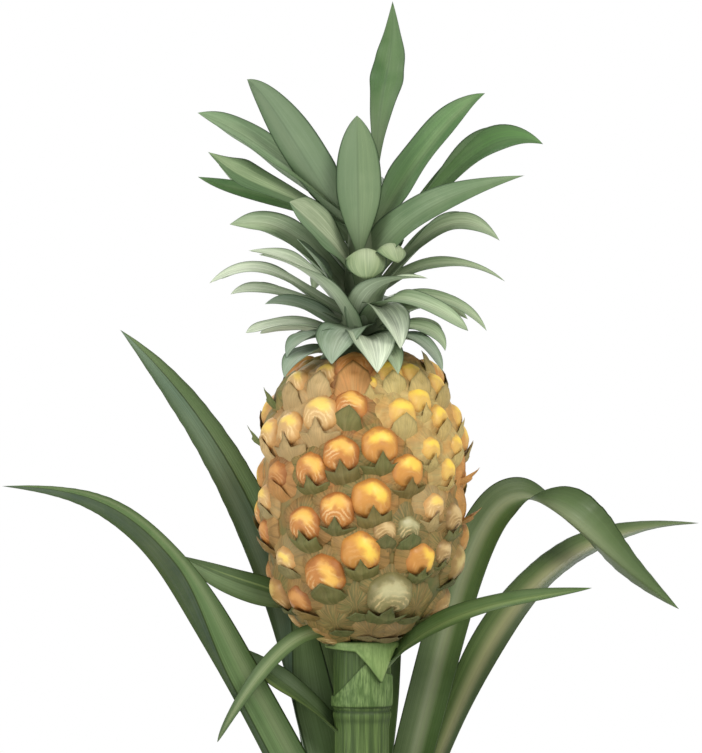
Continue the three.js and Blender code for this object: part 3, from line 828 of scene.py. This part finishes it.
sheath = {
    "inner": 17.2, "thickness": 1.3, "bulge": 0.1, "spread": 88, "edgeDark": 0.85,
    "low": [(-26, 178), (26, 178)], "high": [(-26, 185), (-17, 185), (2, 205), (26, 194)],
    "light": paint(122, 146, 88), "middle": paint(92, 118, 62), "dark": paint(58, 84, 36), "contrast": 0.7,
}
collar = {
    "inner": 19.9, "thickness": 1.9, "bulge": 0.5, "spread": 88, "edgeDark": 0.85,
    "low": [(-22, 213), (-4, 211.5), (4, 203), (12, 192.5), (20, 213)], "high": [(-26, 217.6), (26, 217.6)],
    "light": paint(138, 162, 98), "middle": paint(120, 146, 84), "dark": paint(92, 118, 60), "contrast": 0.4,
}
makeWrap("sheath_wrap", sheath, "sheath skin", "peduncle_sheath")
makeWrap("collar_wrap", collar, "collar skin", "fruit_collar")


# Fruit: its skin is a turned outline, and every eye on it is a low berry, a knob and a bract.
fruit = {
    "bottom": 218, "height": 168, "width": 133, "eyeRise": 7.2,
    "eyes": 92,  # how many places the golden angle gives; those near an eye of the front stay empty
    "frontEyeHeading": 4.7, "frontEyeShare": 0.5, "clearance": 19.5,
    "frontSpan": 62, "frontHeights": (222, 384),  # the part of the front that is all set one by one
    "knobTop": 382,  # no eye above this has a knob
    "lowEyes": (222, 246),  # from the first height to the second the eyes come to stand out in full
    "lowSkin": {"bract": paint(88, 98, 52), "rim": paint(112, 110, 60)},  # what the lower fruit tends to
    "olive": (262, 342),  # where that starts to fade, and where it has gone
}
skinRadius = fruit["width"] / 2 - fruit["eyeRise"]
skinShape = [
    (0.3, 0), (0.5, 0.04), (0.68, 0.1), (0.85, 0.2), (0.97, 0.35), (1, 0.5), (0.975, 0.72), (0.84, 0.87),
    (0.7, 0.95), (0.5, 1),
]
skinPoints = np.array([0, fruit["bottom"]]) + np.array(skinShape) * [skinRadius, fruit["height"]]


def skinPoint(share):
    # a smooth curve through the points of the skin's outline
    place = (len(skinPoints) - 1) * share
    first = min(int(place), len(skinPoints) - 2)
    weight = place - first
    before, here, after, beyond = (
        skinPoints[min(max(first + step, 0), len(skinPoints) - 1)] for step in (-1, 0, 1, 2)
    )
    start, end = (after - before) / 2, (beyond - here) / 2
    cubic = 2 * here - 2 * after + start + end
    square = -3 * here + 3 * after - 2 * start - end
    return cubic * weight ** 3 + square * weight ** 2 + start * weight + here


skinSteps = 400
skinCurve = np.array([skinPoint(step / skinSteps) for step in range(skinSteps + 1)])
skinPieces = np.linalg.norm(np.diff(skinCurve, axis=0), axis=1)
skinLengths = np.concatenate([[0], np.cumsum(skinPieces)])
skinAreas = np.concatenate([[0], np.cumsum((skinCurve[1:, 0] + skinCurve[:-1, 0]) * skinPieces)])


def skinAtLength(length):
    # radius, height and upward direction at a distance up the outline
    length = np.clip(length, 0, skinLengths[-1])
    radius, height = (np.interp(length, skinLengths, values) for values in skinCurve.T)
    near = np.clip(np.searchsorted(skinLengths, length), 1, skinSteps)
    climb = skinCurve[near] - skinCurve[near - 1]
    return radius, height, climb / np.linalg.norm(climb)


def skinSpot(heading, length):
    # where a point of the skin is, and which way is up the skin and out of it
    radius, height, climb = skinAtLength(length)
    out = outward(heading)
    spot = out * radius + np.array([0, 0, height])
    up = out * climb[0] + np.array([0, 0, climb[1]])
    return spot, up, np.cross(sideways(heading), up)


# Looks of the eyes: the knob's colour, its painted highlight (a bright crescent toward the light), its
# rim, the bract under it, and how strongly pale arcs show on the knob.
eyeParts = ("core", "glow", "rim", "bract")
eyeLooks = {
    "ripe": ((204, 144, 68), (250, 210, 84), (178, 118, 56), (104, 106, 54), 0.12),
    "amber": ((194, 130, 64), (236, 188, 90), (158, 98, 46), (104, 104, 54), 0.5),
    "papery": ((206, 170, 112), (246, 210, 104), (200, 150, 88), (194, 168, 118), 0.6),
    "yellow": ((222, 182, 92), (252, 216, 84), (206, 158, 86), (198, 178, 114), 0.1),
    "green": ((146, 138, 92), (186, 180, 136), (112, 106, 64), (92, 98, 52), 0.5),
    "tan": ((172, 140, 88), (212, 184, 130), (132, 104, 62), (108, 106, 60), 0.4),
    "brown": ((186, 124, 62), (210, 152, 86), (146, 92, 48), (206, 144, 80), 0.2),
    "rose": ((166, 132, 98), (196, 164, 128), (146, 120, 84), (188, 150, 116), 0.4),
    "bare": ((120, 116, 70), (160, 156, 110), (110, 104, 60), (116, 116, 70), 0.2),
    "spine": ((120, 130, 70), (160, 156, 110), (122, 120, 66), (106, 124, 62), 0),
    "flame": ((214, 150, 70), (240, 200, 96), (206, 138, 66), (226, 158, 84), 0),
}
# Eyes without a knob, and how far their scale stands out.
bareEyes = {"rose": 1, "bare": 1, "spine": 1.8, "flame": 1.8}
# Eyes set one by one on the front: heading, height, size, look, and the turn of the painted highlight.
frontEyes = [
    (-7, 380, 24, "brown", 0), (22, 377, 17, "yellow", 10), (43, 376, 18, "yellow", 10),
    (5, 371, 11, "yellow", 30), (-30, 376, 17, "papery", 0), (-54, 371, 19, "papery", 20),
    (66, 370, 18, "yellow", 30), (-7, 358, 21, "amber", 30), (-26, 353, 23, "papery", 20),
    (25, 354, 19, "yellow", 10), (40, 361, 18, "yellow", 10), (54, 351, 17, "yellow", -20),
    (82, 351, 17, "yellow", 20), (-47, 345, 21, "papery", 10), (-68, 341, 20, "papery", 10),
    (10, 335, 23.5, "ripe", 0), (-12, 330, 22, "amber", 15), (42, 333, 16, "yellow", 10),
    (68, 334, 16, "yellow", 20), (26, 320, 21, "ripe", 10), (-30, 321, 21.5, "amber", 45),
    (-55, 317, 19, "brown", 0), (56, 320, 16, "yellow", 20), (5, 304, 24.5, "ripe", 30),
    (-14, 297, 22, "amber", -10), (44, 299, 17, "papery", 10), (-34, 289, 22.5, "amber", 20),
    (-70, 303, 18, "papery", 0), (-73, 283, 17, "brown", 0), (13, 285, 15, "tan", 40),
    (27, 286, 17, "green", 0), (62, 292, 18, "tan", 20), (-1, 273, 25, "ripe", 50),
    (-52, 268, 17, "papery", 30), (37, 268, 21, "ripe", 60), (55, 272, 16, "tan", 20),
    (-24, 259, 25.5, "amber", 70), (19, 248, 29, "green", 0), (-50, 244, 19, "brown", 20),
    (-5, 241, 16, "bare", 0), (42, 240, 18, "bare", 20), (-24, 231, 17, "bare", 0), (40, 226, 19, "rose", 0),
    (8, 226, 16, "rose", 0), (-82, 366, 13, "spine", 0), (-86, 345, 15, "spine", 0),
    (84, 322, 15, "flame", 0), (87, 299, 15, "flame", 0),
]
# The looks of all other eyes: each place pulls the eyes near it to its own look. A place is a look,
# heading, height, how far it reaches round and up, and its pull.
eyePlaces = [
    ("yellow", 60, 352, 40, 30, 1.0),
    ("papery", -80, 330, 40, 36, 0.9),
    ("amber", -100, 282, 40, 30, 0.6),
    ("green", 70, 255, 40, 22, 1.0),
    ("green", 0, 230, 70, 16, 1.4),
    ("papery", 150, 350, 60, 24, 0.8),
    ("tan", 180, 240, 120, 20, 1.2),
]


# How unlike each other the eyes are: each value is drawn between these two.
eyeVariety = {
    "size": (0.82, 1.08), "turn": (-30, 50), "arcs": (0.1, 0.9), "berryTurn": (-0.2, 0.2),
    "berryRise": (0.9, 1.1), "knobRise": (0.9, 1.08), "warmth": (0, 0.3), "shade": (0.82, 1.12),
    "bractSize": (0.98, 1.14), "bractRise": (0.95, 1.15), "bractTurn": (-0.16, 0.16),
}


def vary(draw, name):
    return draw.uniform(*eyeVariety[name])


def eyeTint(heading, height, part):
    weights = {"ripe": 0.35}
    for look, middle, level, wide, tall, pull in eyePlaces:
        turn = (heading - middle + 180) % 360 - 180
        near = math.exp(-(turn / wide) ** 2 - ((height - level) / tall) ** 2)
        weights[look] = weights.get(look, 0) + pull * near
    total = sum(weights.values())
    mixed = np.zeros(4)
    for look, weight in weights.items():
        mixed += np.array(paint(*eyeLooks[look][eyeParts.index(part)])) * weight / total
    return mixed


# A round dome over a disc: height(x, y, share) gives its surface, and the foot is sunk in the skin.
def makeDome(habit, height, polarMap):
    radius, rings, segments = habit["radius"], habit["rings"], habit["segments"]

    def place(angle, share):
        if polarMap:
            return abs(angle / math.pi - 1), share
        return 0.5 + 0.5 * share * math.cos(angle), 0.5 + 0.5 * share * math.sin(angle)

    points, uv = [np.array([0, 0, height(0, 0, 0)])], [(0.5, 0.0 if polarMap else 0.5)]
    for ring in range(1, rings + 2):
        share = math.sin(math.pi / 2 * min(ring, rings) / rings)
        for segment in range(segments):
            angle = 2 * math.pi * segment / segments
            reach = share * (1 + habit["corners"] * math.cos(6 * angle + math.pi))
            reach *= 0.9 if ring > rings else 1
            x, y = math.cos(angle) * reach, math.sin(angle) * reach
            level = -habit["sunk"] if ring > rings else height(x, y, share)
            points.append(np.array([x * radius, y * radius, level]))
            uv.append(place(angle, share))
    faces = [(0, 1 + segment, 1 + (segment + 1) % segments) for segment in range(segments)]
    for here, beside, across, below in ringFaces(rings + 1, segments, 1):
        faces.append((here, below, across, beside))
    last = 1 + rings * segments
    faces.append(tuple(range(last, last + segments)))
    return heapOf(points, faces, uv)


# The knob: a round ball, pressed in low on its middle where the tip of its bract lies.
eyeKnob = {"radius": 11.4, "rise": 7.4, "sunk": 5, "rings": 10, "segments": 32, "notch": 0.3, "corners": 0.03}
# The berry under it: a wide low cushion that meets its neighbours in a crease.
eyeBerry = {
    "radius": 17, "rise": 3.2, "drop": 5.6, "flute": 0.35, "sunk": 7, "rings": 7, "segments": 36,
    "corners": 0.06,
}


def knobHeight(x, y, share):
    dome = max(0, 1 - share ** 2.2) ** 0.5
    press = eyeKnob["notch"] * math.exp(-(x / 0.28) ** 2) * smooth(-y, 0.1, 0.7)
    return eyeKnob["rise"] * (dome - press)


def berryHeight(x, y, share):
    flutes = eyeBerry["flute"] * math.cos(9 * math.atan2(y, x)) * smooth(share, 0.2, 0.8)
    return eyeBerry["rise"] - eyeBerry["drop"] * share ** 2.4 + flutes


# The bract: a fan from a narrow foot below the knob to its pointed lobes, which lie over the knob's
# lower edge. A lobe or a notch is an angle from the middle, and how long the fan is there.
eyeBract = {
    "length": 23, "foot": 26, "rows": 10, "keel": 0.7, "thickness": 0.6, "sharpness": 1.5, "clearance": 0.4,
    "rest": 4.2,
}
bractKinds = {
    "star": {"lobes": [(0, 1.0), (36, 0.92)], "notches": [(17, 0.68), (64, 0.34)]},
    "maple": {"lobes": [(0, 1.02), (26, 0.92), (50, 0.78)], "notches": [(13, 0.74), (38, 0.62), (72, 0.26)]},
    "scale": {"lobes": [(0, 1.06)], "notches": [(24, 0.88), (46, 0.68), (70, 0.3)]},
}
fanSteps = 4


def fanSpokes(kind, sharpness):
    marks = sorted([*kind["lobes"], *kind["notches"]])
    spokes = []
    for (low, lowReach), (high, highReach) in zip(marks, marks[1:]):
        for step in range(fanSteps):
            share = step / fanSteps
            bend = share ** (1 / sharpness) if lowReach > highReach else share ** sharpness
            spokes.append((low + (high - low) * share, lowReach + (highReach - lowReach) * bend))
    spokes.append(marks[-1])
    return [(-angle, reach) for angle, reach in reversed(spokes[1:])] + spokes


def restingHeight(x, y):
    # the surface of knob and berry under a point, with the step at the knob's edge eased
    reach = math.hypot(x, y)
    share = reach / eyeKnob["radius"]
    berry = eyeBerry["rise"] - eyeBerry["drop"] * (reach / eyeBerry["radius"]) ** 2.4
    dome = knobHeight(x / eyeKnob["radius"], y / eyeKnob["radius"], share) if share < 1 else -9
    eased = eyeBract["rest"] * (1 - smooth(share, 0.8, 1.5)) + berry * smooth(share, 0.8, 1.5)
    return max(berry, dome, eased if share > 0.8 else -9)


def makeFan(habit, kind):
    spokes = fanSpokes(kind, habit["sharpness"])
    widest = spokes[-1][0]
    lobes = [lobe[0] for lobe in kind["lobes"]]
    rows = habit["rows"]
    top, low, uv = [], [], []
    for row in range(rows + 1):
        share = 0.1 + 0.9 * row / rows
        for angle, reach in spokes:
            turn = math.radians(angle)
            sideShare = abs(angle) / widest
            length = habit["length"] * reach * share
            x, y = math.sin(turn) * length, math.cos(turn) * length - habit["foot"]
            nearLobe = min(abs(abs(angle) - lobe) for lobe in lobes)
            keel = habit["keel"] * max(-0.5, 1 - nearLobe / 10) * share * (1.4 - share)
            level = restingHeight(x, y) + habit["clearance"] + keel
            body = habit["thickness"] / 2 * (0.2 + 0.8 * (1 - share ** 4) * (1 - sideShare ** 4))
            spot = np.array([x, y, level])
            top.append(spot + np.array([0, 0, body]))
            low.append(spot - np.array([0, 0, body]))
            uv.append((0.5 + 0.5 * angle / widest, share))
    return heapOf([*top, *low], sheetFaces(rows, len(spokes)), uv * 2)


# Sets one shape on every marked place of the fruit, turned and sized by the place's own marks, and
# makes each copy a little uneven.
def makeSettingTree():
    inputs = {
        "Places": "Geometry", "Shape": "Object", "Finish": "Material", "Scale Spread": 0.06,
        "Turn Spread": 0.1, "Lumps": 0.0005, "Lump Scale": 180.0, "Seed": 1,
    }
    tree, given, result = newGroup("Set on skin", inputs, ("Geometry",), True)

    def mark(name, kind="FLOAT"):
        return wire(tree, "GeometryNodeInputNamedAttribute", {"Name": name}, data_type=kind)

    def spread(amount, seedStep):
        seed = calc(tree, "ADD", given["Seed"], seedStep)
        sockets = {"Min_001": times(tree, amount, -1.0), "Max_001": amount, "Seed": seed}
        node = addNode(tree, "FunctionNodeRandomValue", data_type="FLOAT")
        for socket in node.inputs:
            if socket.identifier in sockets:
                tree.links.new(sockets[socket.identifier], socket)
        return next(socket for socket in node.outputs if socket.identifier == "Value_001")

    axes = {0: mark("facing", "FLOAT_VECTOR"), 1: mark("climbing", "FLOAT_VECTOR")}
    facing = wire(tree, "FunctionNodeAxesToRotation", axes, primary_axis="Z", secondary_axis="Y")
    turn = calc(tree, "ADD", mark("turn"), spread(given["Turn Spread"], 1.0))
    spin = wire(tree, "FunctionNodeAxisAngleToRotation", {"Axis": (0, 0, 1), "Angle": turn})
    rotation = wire(tree, "FunctionNodeRotateRotation", {0: facing, 1: spin}, rotation_space="LOCAL")
    size = times(tree, mark("size"), calc(tree, "ADD", 1.0, spread(given["Scale Spread"], 2.0)))
    stretch = wire(tree, "ShaderNodeCombineXYZ", {0: size, 1: size, 2: times(tree, size, mark("proud"))})
    shape = addNode(tree, "GeometryNodeObjectInfo", {"Object": given["Shape"]}).outputs["Geometry"]
    points = wire(tree, "GeometryNodeMeshToPoints", {"Mesh": given["Places"]})
    sockets = {"Points": points, "Instance": shape, "Rotation": rotation, "Scale": stretch}
    copies = wire(tree, "GeometryNodeInstanceOnPoints", sockets)
    whole = wire(tree, "GeometryNodeRealizeInstances", {"Geometry": copies})

    # lumps: each point moves a little, by a noise of its own place
    where = wire(tree, "GeometryNodeInputPosition")
    noise = {"Vector": where, "Scale": given["Lump Scale"], "Detail": 2.0}
    cloud = addNode(tree, "ShaderNodeTexNoise", noise).outputs["Color"]
    centred = wire(tree, "ShaderNodeVectorMath", {0: cloud, 1: (0.5, 0.5, 0.5)}, operation="SUBTRACT")
    offset = wire(tree, "ShaderNodeVectorMath", {0: centred, "Scale": given["Lumps"]}, operation="SCALE")
    lumpy = wire(tree, "GeometryNodeSetPosition", {"Geometry": whole, "Offset": offset})
    smoothed = wire(tree, "GeometryNodeSetShadeSmooth", {"Geometry": lumpy})
    done = wire(tree, "GeometryNodeSetMaterial", {"Geometry": smoothed, "Material": given["Finish"]})
    tree.links.new(done, result["Geometry"])
    return tree


settingTree = makeSettingTree()


def setOnSkin(name, places, shapeHeap, finish, values):
    shape = heapToPiece(shapeHeap, name + "_shape", finish)
    bed = heapToPiece(places, name + "_bed", finish)
    modifier = bed.modifiers.new("setting", "NODES")
    modifier.node_group = settingTree
    values = {**values, "Shape": shape, "Finish": finish}
    for item in settingTree.interface.items_tree:
        if item.in_out == "INPUT" and item.name in values:
            modifier[item.identifier] = values[item.name]
    bpy.context.view_layer.update()
    made = bpy.data.meshes.new_from_object(bed.evaluated_get(bpy.context.evaluated_depsgraph_get()))
    made.name = name
    bed.modifiers.clear()
    bpy.data.objects.remove(shape)
    bpy.data.objects.remove(bed)
    settle(addObject(name, made), "fruit", "fruit")


def addPlace(heap, spot, marks, turn, size, proud):
    marks = {**marks, "turn": turn, "size": size, "proud": proud}
    addToHeap(heap, [spot], [], [], {name: [value] for name, value in marks.items()})


# Finish of the knobs: a warm glossy ball with a painted highlight crescent toward the light, a darker
# rim, broad pale arcs and painted shade in the notch under the bract's tip.
knobFinish = {
    "roughness": 0.46, "coat": 0.03, "arcs": 8.5,
    # shade: the colour of the painted shade in the notch under the bract's tip
    "arcTint": paint(240, 210, 154), "shade": paint(112, 76, 36),
}


def makeKnobFinish(habit):
    finish, tree = newFinish("eye skin", habit["roughness"], habit["coat"])
    place = surfaceMap(tree)
    patches = useGroup(tree, mottle, {"Scale": 130.0, "Low": 0.35, "High": 0.65})
    wide = useGroup(tree, mottle, {"Scale": 55.0, "Low": 0.38, "High": 0.62})
    wobble = calc(tree, "MULTIPLY_ADD", patches["Height"], 0.36, -0.18)

    def vector(operation, first, second, output="Value"):
        sockets = {0: first, 1: second}
        return addNode(tree, "ShaderNodeVectorMath", sockets, operation=operation).outputs[output]

    def distanceFrom(x, y):
        return calc(tree, "ADD", vector("DISTANCE", place, (x, y, 0)), wobble)

    centre, hollow = distanceFrom(0.5, 0.5), distanceFrom(0.5, 0.24)
    away = vector("NORMALIZE", vector("SUBTRACT", place, (0.5, 0.5, 0), "Vector"), (0, 0, 0), "Vector")
    toLight = vector("DOT_PRODUCT", away, readMark(tree, "light", "Vector"))
    arcs = calc(tree, "SINE", times(tree, hollow, habit["arcs"] * 2 * math.pi))
    arcs = times(tree, ramp(tree, arcs, -0.2, 0.8), ramp(tree, patches["Height"], 0.38, 0.58))
    arcs = times(tree, arcs, ramp(tree, hollow, 0.72, 0.4))
    band = calc(tree, "ABSOLUTE", calc(tree, "SUBTRACT", centre, 0.24))
    # painted highlight: a bright crescent on the side of the knob that faces the light
    glow = times(tree, ramp(tree, band, 0.22, 0.04), ramp(tree, toLight, -0.1, 0.85))
    rim = readMark(tree, "rim")
    tint = paintOver(
        tree, readMark(tree, "core"),
        (wide["Mask"], 0.3, rim),
        (arcs, readMark(tree, "arcs", "Fac"), habit["arcTint"]),
        (glow, 0.85, readMark(tree, "glow")),
        (ramp(tree, centre, 0.35, 0.5, 0.0, 0.85), 1.0, rim),
        # painted shade in the notch where the bract's tip lies over the knob
        (ramp(tree, hollow, 0.16, 0.02, 0.0, 0.6), 1.0, habit["shade"]),
    )
    rough = calc(tree, "MULTIPLY_ADD", patches["Mask"], 0.2, habit["roughness"] - 0.08)
    return dress(finish, tint, patches["Height"], 0.5, 1.2, rough)


bractFinish = {
    "green": paint(84, 100, 54), "dark": paint(70, 68, 38), "light": paint(178, 158, 108),
    "edge": paint(66, 74, 38),
}


def makeBractFinish(habit):
    finish, tree = newFinish("bract skin", 0.62)
    grain = grainOf(tree, 34.0, 1.3, 11.0)
    along = split(tree, surfaceMap(tree))[1]
    patches = useGroup(tree, mottle, {"Scale": 60.0})
    own = readMark(tree, "bract")
    tint = paintOver(
        tree, own,
        (patches["Mask"], 0.3, mixTint(tree, 0.5, own, habit["green"])),
        (grain["Streak"], 0.4, mixTint(tree, 0.6, own, habit["dark"])),
        (grain["Band"], ramp(tree, along, 0.75, 0.2, 0.1, 0.5), habit["light"]),
        (ramp(tree, along, 0.86, 1.0, 0.0, 0.6), 1.0, mixTint(tree, 0.5, own, habit["edge"])),
    )
    return dress(finish, tint, grain["Height"], 0.6, 0.6)


skinTints = {"pit": paint(96, 78, 44), "rib": paint(206, 158, 96), "groove": paint(92, 74, 40)}


def makeSkinFinish(name, habit, ribbed):
    finish, tree = newFinish(name, 0.6)
    patches = useGroup(tree, mottle, {"Scale": 42.0, "Low": 0.4, "High": 0.6})
    fine = useGroup(tree, mottle, {"Scale": 160.0, "Stretch": (1.0, 1.0, 0.4)})
    tint = mixTint(tree, patches["Mask"], readMark(tree, "bract"), readMark(tree, "rim"))
    tint = paintOver(tree, tint, (fine["Mask"], 0.3, habit["pit"]))
    height = fine["Height"]
    if ribbed:
        grain = grainOf(tree, 30.0, 1.2, 9.0)
        tint = paintOver(tree, tint, (grain["Streak"], 0.35, habit["rib"]))
        tint = paintOver(tree, tint, (grain["Band"], 0.25, habit["groove"]))
        height = grain["Height"]
    return dress(finish, tint, height, 0.6, 0.8)


def lowTint(habit, tint, part, height, strength):
    # a tint drawn toward that of the lower fruit
    share = 1 - smooth(height, *habit["olive"])
    return tint + (np.array(habit["lowSkin"][part]) - tint) * share * strength


def eyeRows(habit):
    # first the eyes that are listed, then the rest, each turned from the last by the golden angle
    rows = []
    for heading, height, size, look, turn in frontEyes:
        reach = float(np.interp(height, skinCurve[:, 1], skinLengths))
        *tints, arcs = eyeLooks[look]
        tints = {part: np.array(paint(*tint)) for part, tint in zip(eyeParts, tints)}
        rows.append({"heading": heading, "reach": reach, "size": size / (2 * eyeKnob["radius"]), "turn": turn,
                     "tints": tints, "look": look, "arcs": arcs})
    taken = [skinSpot(row["heading"], row["reach"])[0] for row in rows]
    draw = random.Random(19)
    middle = round(habit["eyes"] * habit["frontEyeShare"])
    for index in range(habit["eyes"]):
        heading = habit["frontEyeHeading"] + goldenAngle * (index - middle)
        reach = np.interp((index + 0.5) / habit["eyes"] * skinAreas[-1], skinAreas, skinLengths)
        spot = skinSpot(heading, reach)[0]
        size, turn, arcs = (vary(draw, name) for name in ("size", "turn", "arcs"))
        near = min(np.linalg.norm(spot - other) for other in taken) < habit["clearance"]
        ahead = abs((heading + 180) % 360 - 180) < habit["frontSpan"]
        low, high = habit["frontHeights"]
        if near or (ahead and low < spot[2] < high):
            continue
        tints = {part: eyeTint(heading, spot[2], part) for part in eyeParts}
        rows.append({"heading": heading, "reach": reach, "size": size, "turn": turn,
                     "tints": tints, "look": None, "arcs": arcs})
    return rows


def makeFruitSkin(habit):
    rows, segments = 90, 96
    length = skinLengths[-1]

    def outline(share):
        radius, height = skinAtLength(share * length)[:2]
        return radius - 1, height

    def relief(angle, share):
        return 0.6 * jitter(angle * 3, share, 3)

    tints = {"bract": [], "rim": []}
    for row in range(rows + 1):
        height = skinAtLength(row / rows * length)[1]
        for column in range(segments):
            for part, values in tints.items():
                own = eyeTint(360 * column / segments, height, part)
                values.append(tuple(lowTint(habit, own, part, height, 0.75)))
    look = makeSkinFinish("fruit skin", skinTints, False)
    makeTurned("fruit_skin", outline, relief, rows, segments, look, "fruit", "fruit", tints)


def makeFruitEyes(habit):
    draw = random.Random(23)
    berries, knobs = newHeap(), newHeap()
    bracts = {kind: newHeap() for kind in bractKinds}
    for row in eyeRows(habit):
        spot, up, out = skinSpot(row["heading"], row["reach"])
        height, size, look = spot[2], row["size"], row["look"]
        low = 1 - smooth(height, *habit["lowEyes"])
        turn = math.radians(row["turn"])
        marks = {**row["tints"], "light": (math.sin(turn), math.cos(turn), 0), "arcs": row["arcs"]}
        marks.update({"facing": out, "climbing": up})
        olive = {part: lowTint(habit, marks[part], part, height, 0.6) for part in habit["lowSkin"]}

        turn, proud = vary(draw, "berryTurn"), vary(draw, "berryRise")
        addPlace(berries, spot, {**marks, **olive}, turn, 0.7 + 0.3 * size, proud)

        if height < habit["knobTop"] and look not in bareEyes:
            proud = vary(draw, "knobRise") * (1 - 0.35 * low)
            addPlace(knobs, spot, marks, 0.0, size, proud)
        else:
            draw.random()

        papery = marks["bract"][0] > 0.3
        kind = draw.choice(["scale", "scale", "star"] if papery else ["star", "maple", "star", "scale"])
        kind = "scale" if look in bareEyes else kind
        warmth = vary(draw, "warmth") * (0.3 + 0.7 * smooth(height, *habit["olive"]))
        marks["bract"] = (olive["bract"] * (1 - warmth) + marks["rim"] * warmth) * vary(draw, "shade")
        spread = vary(draw, "bractSize") * (0.25 + 0.75 * size)
        proud = vary(draw, "bractRise") * (1 - 0.3 * low) * bareEyes.get(look, 1)
        addPlace(bracts[kind], spot, marks, vary(draw, "bractTurn"), spread, proud)
    berryLook = makeSkinFinish("berry skin", skinTints, True)
    setOnSkin(
        "fruit_berries", berries, makeDome(eyeBerry, berryHeight, True), berryLook,
        {"Scale Spread": 0.04, "Lumps": 0.0024, "Lump Scale": 80.0, "Seed": 2},
    )
    setOnSkin(
        "fruit_eyes", knobs, makeDome(eyeKnob, knobHeight, False), makeKnobFinish(knobFinish),
        {"Scale Spread": 0.03, "Turn Spread": 0.12, "Lumps": 0.002, "Lump Scale": 90.0, "Seed": 4},
    )
    bractLook = makeBractFinish(bractFinish)
    for kind, places in bracts.items():
        setOnSkin(
            "fruit_bracts_" + kind, places, makeFan(eyeBract, bractKinds[kind]), bractLook,
            {"Scale Spread": 0.05, "Lumps": 0.0016, "Lump Scale": 110.0, "Seed": 9},
        )


makeFruitSkin(fruit)
makeFruitEyes(fruit)


# The crown's own stalk, which also fills the heart between its leaves; its dark olive is partly the
# stalk's own green and partly painted shade of the hollow between the leaves.
crownStalk = {
    "bottom": 386.3, "tints": (paint(88, 100, 74), paint(112, 124, 96)),
    "radii": [(0, 25.6), (6, 22), (14, 15), (24, 12.5), (50, 10.5), (70, 9), (94, 6), (112, 1.5)],
}


def makeCrownStalk(habit):
    heights, radii = zip(*habit["radii"])

    def outline(share):
        return np.interp(share * heights[-1], heights, radii), habit["bottom"] + share * heights[-1]

    def relief(angle, share):
        return 0.4 * jitter(angle * 2, share, 8)

    finish, tree = newFinish("crown heart", 0.7)
    patches = useGroup(tree, mottle, {"Scale": 70.0, "Stretch": (1.0, 1.0, 0.3)})
    tree.links.new(mixTint(tree, patches["Mask"], *habit["tints"]), surfaceOf(finish)["Base Color"])
    makeTurned("crown_heart", outline, relief, 40, 60, finish, "crown_foliage", "crown")


makeCrownStalk(crownStalk)


# The floor, the sky and the lamps.
stage = {"radius": 1450, "depth": 0.5, "tint": (0.86, 0.86, 0.85, 1), "sky": 0.62}
lamps = [
    {"name": "key", "place": (900, -1500, 1500), "size": 900, "power": 23, "tint": (1.0, 0.97, 0.92)},
    {"name": "fill", "place": (-1400, -1100, 700), "size": 1200, "power": 14, "tint": (0.98, 0.98, 1.0)},
    {"name": "back", "place": (-300, 1300, 1300), "size": 1000, "power": 8, "tint": (1.0, 1.0, 1.0)},
]


def makeStage(habit):
    mesh = bpy.data.meshes.new("floor")
    shape = bmesh.new()
    bmesh.ops.create_circle(shape, cap_ends=True, segments=96, radius=habit["radius"] * millimetre)
    shape.to_mesh(mesh)
    shape.free()
    finish = newFinish("plain floor", 0.8)[0]
    surfaceOf(finish)["Base Color"].default_value = habit["tint"]
    mesh.materials.append(finish)
    floor = addObject("floor", mesh)
    floor.location.z = -habit["depth"] * millimetre

    world = bpy.data.worlds.new("studio")
    world.use_nodes = True
    tree = world.node_tree
    light, seen = (
        wire(tree, "ShaderNodeBackground", {"Color": (1, 1, 1, 1), "Strength": strength})
        for strength in (habit["sky"], 1.0)
    )
    direct = addNode(tree, "ShaderNodeLightPath").outputs["Is Camera Ray"]
    both = wire(tree, "ShaderNodeMixShader", {0: direct, 1: light, 2: seen})
    tree.links.new(both, tree.nodes["World Output"].inputs["Surface"])
    bpy.context.scene.world = world
    bpy.context.scene.view_settings.view_transform = "Standard"


def placeLamps(rows):
    target = Vector((0, 0, 0.34))
    for row in rows:
        data = bpy.data.lights.new(row["name"], "AREA")
        data.shape = "DISK"
        data.size = row["size"] * millimetre
        data.energy = row["power"]
        data.color = row["tint"]
        lamp = addObject(row["name"], data)
        lamp.location = Vector(row["place"]) * millimetre
        lamp.rotation_euler = (target - lamp.location).to_track_quat("-Z", "Y").to_euler()


makeStage(stage)
placeLamps(lamps)
print("stage and lamps ready")
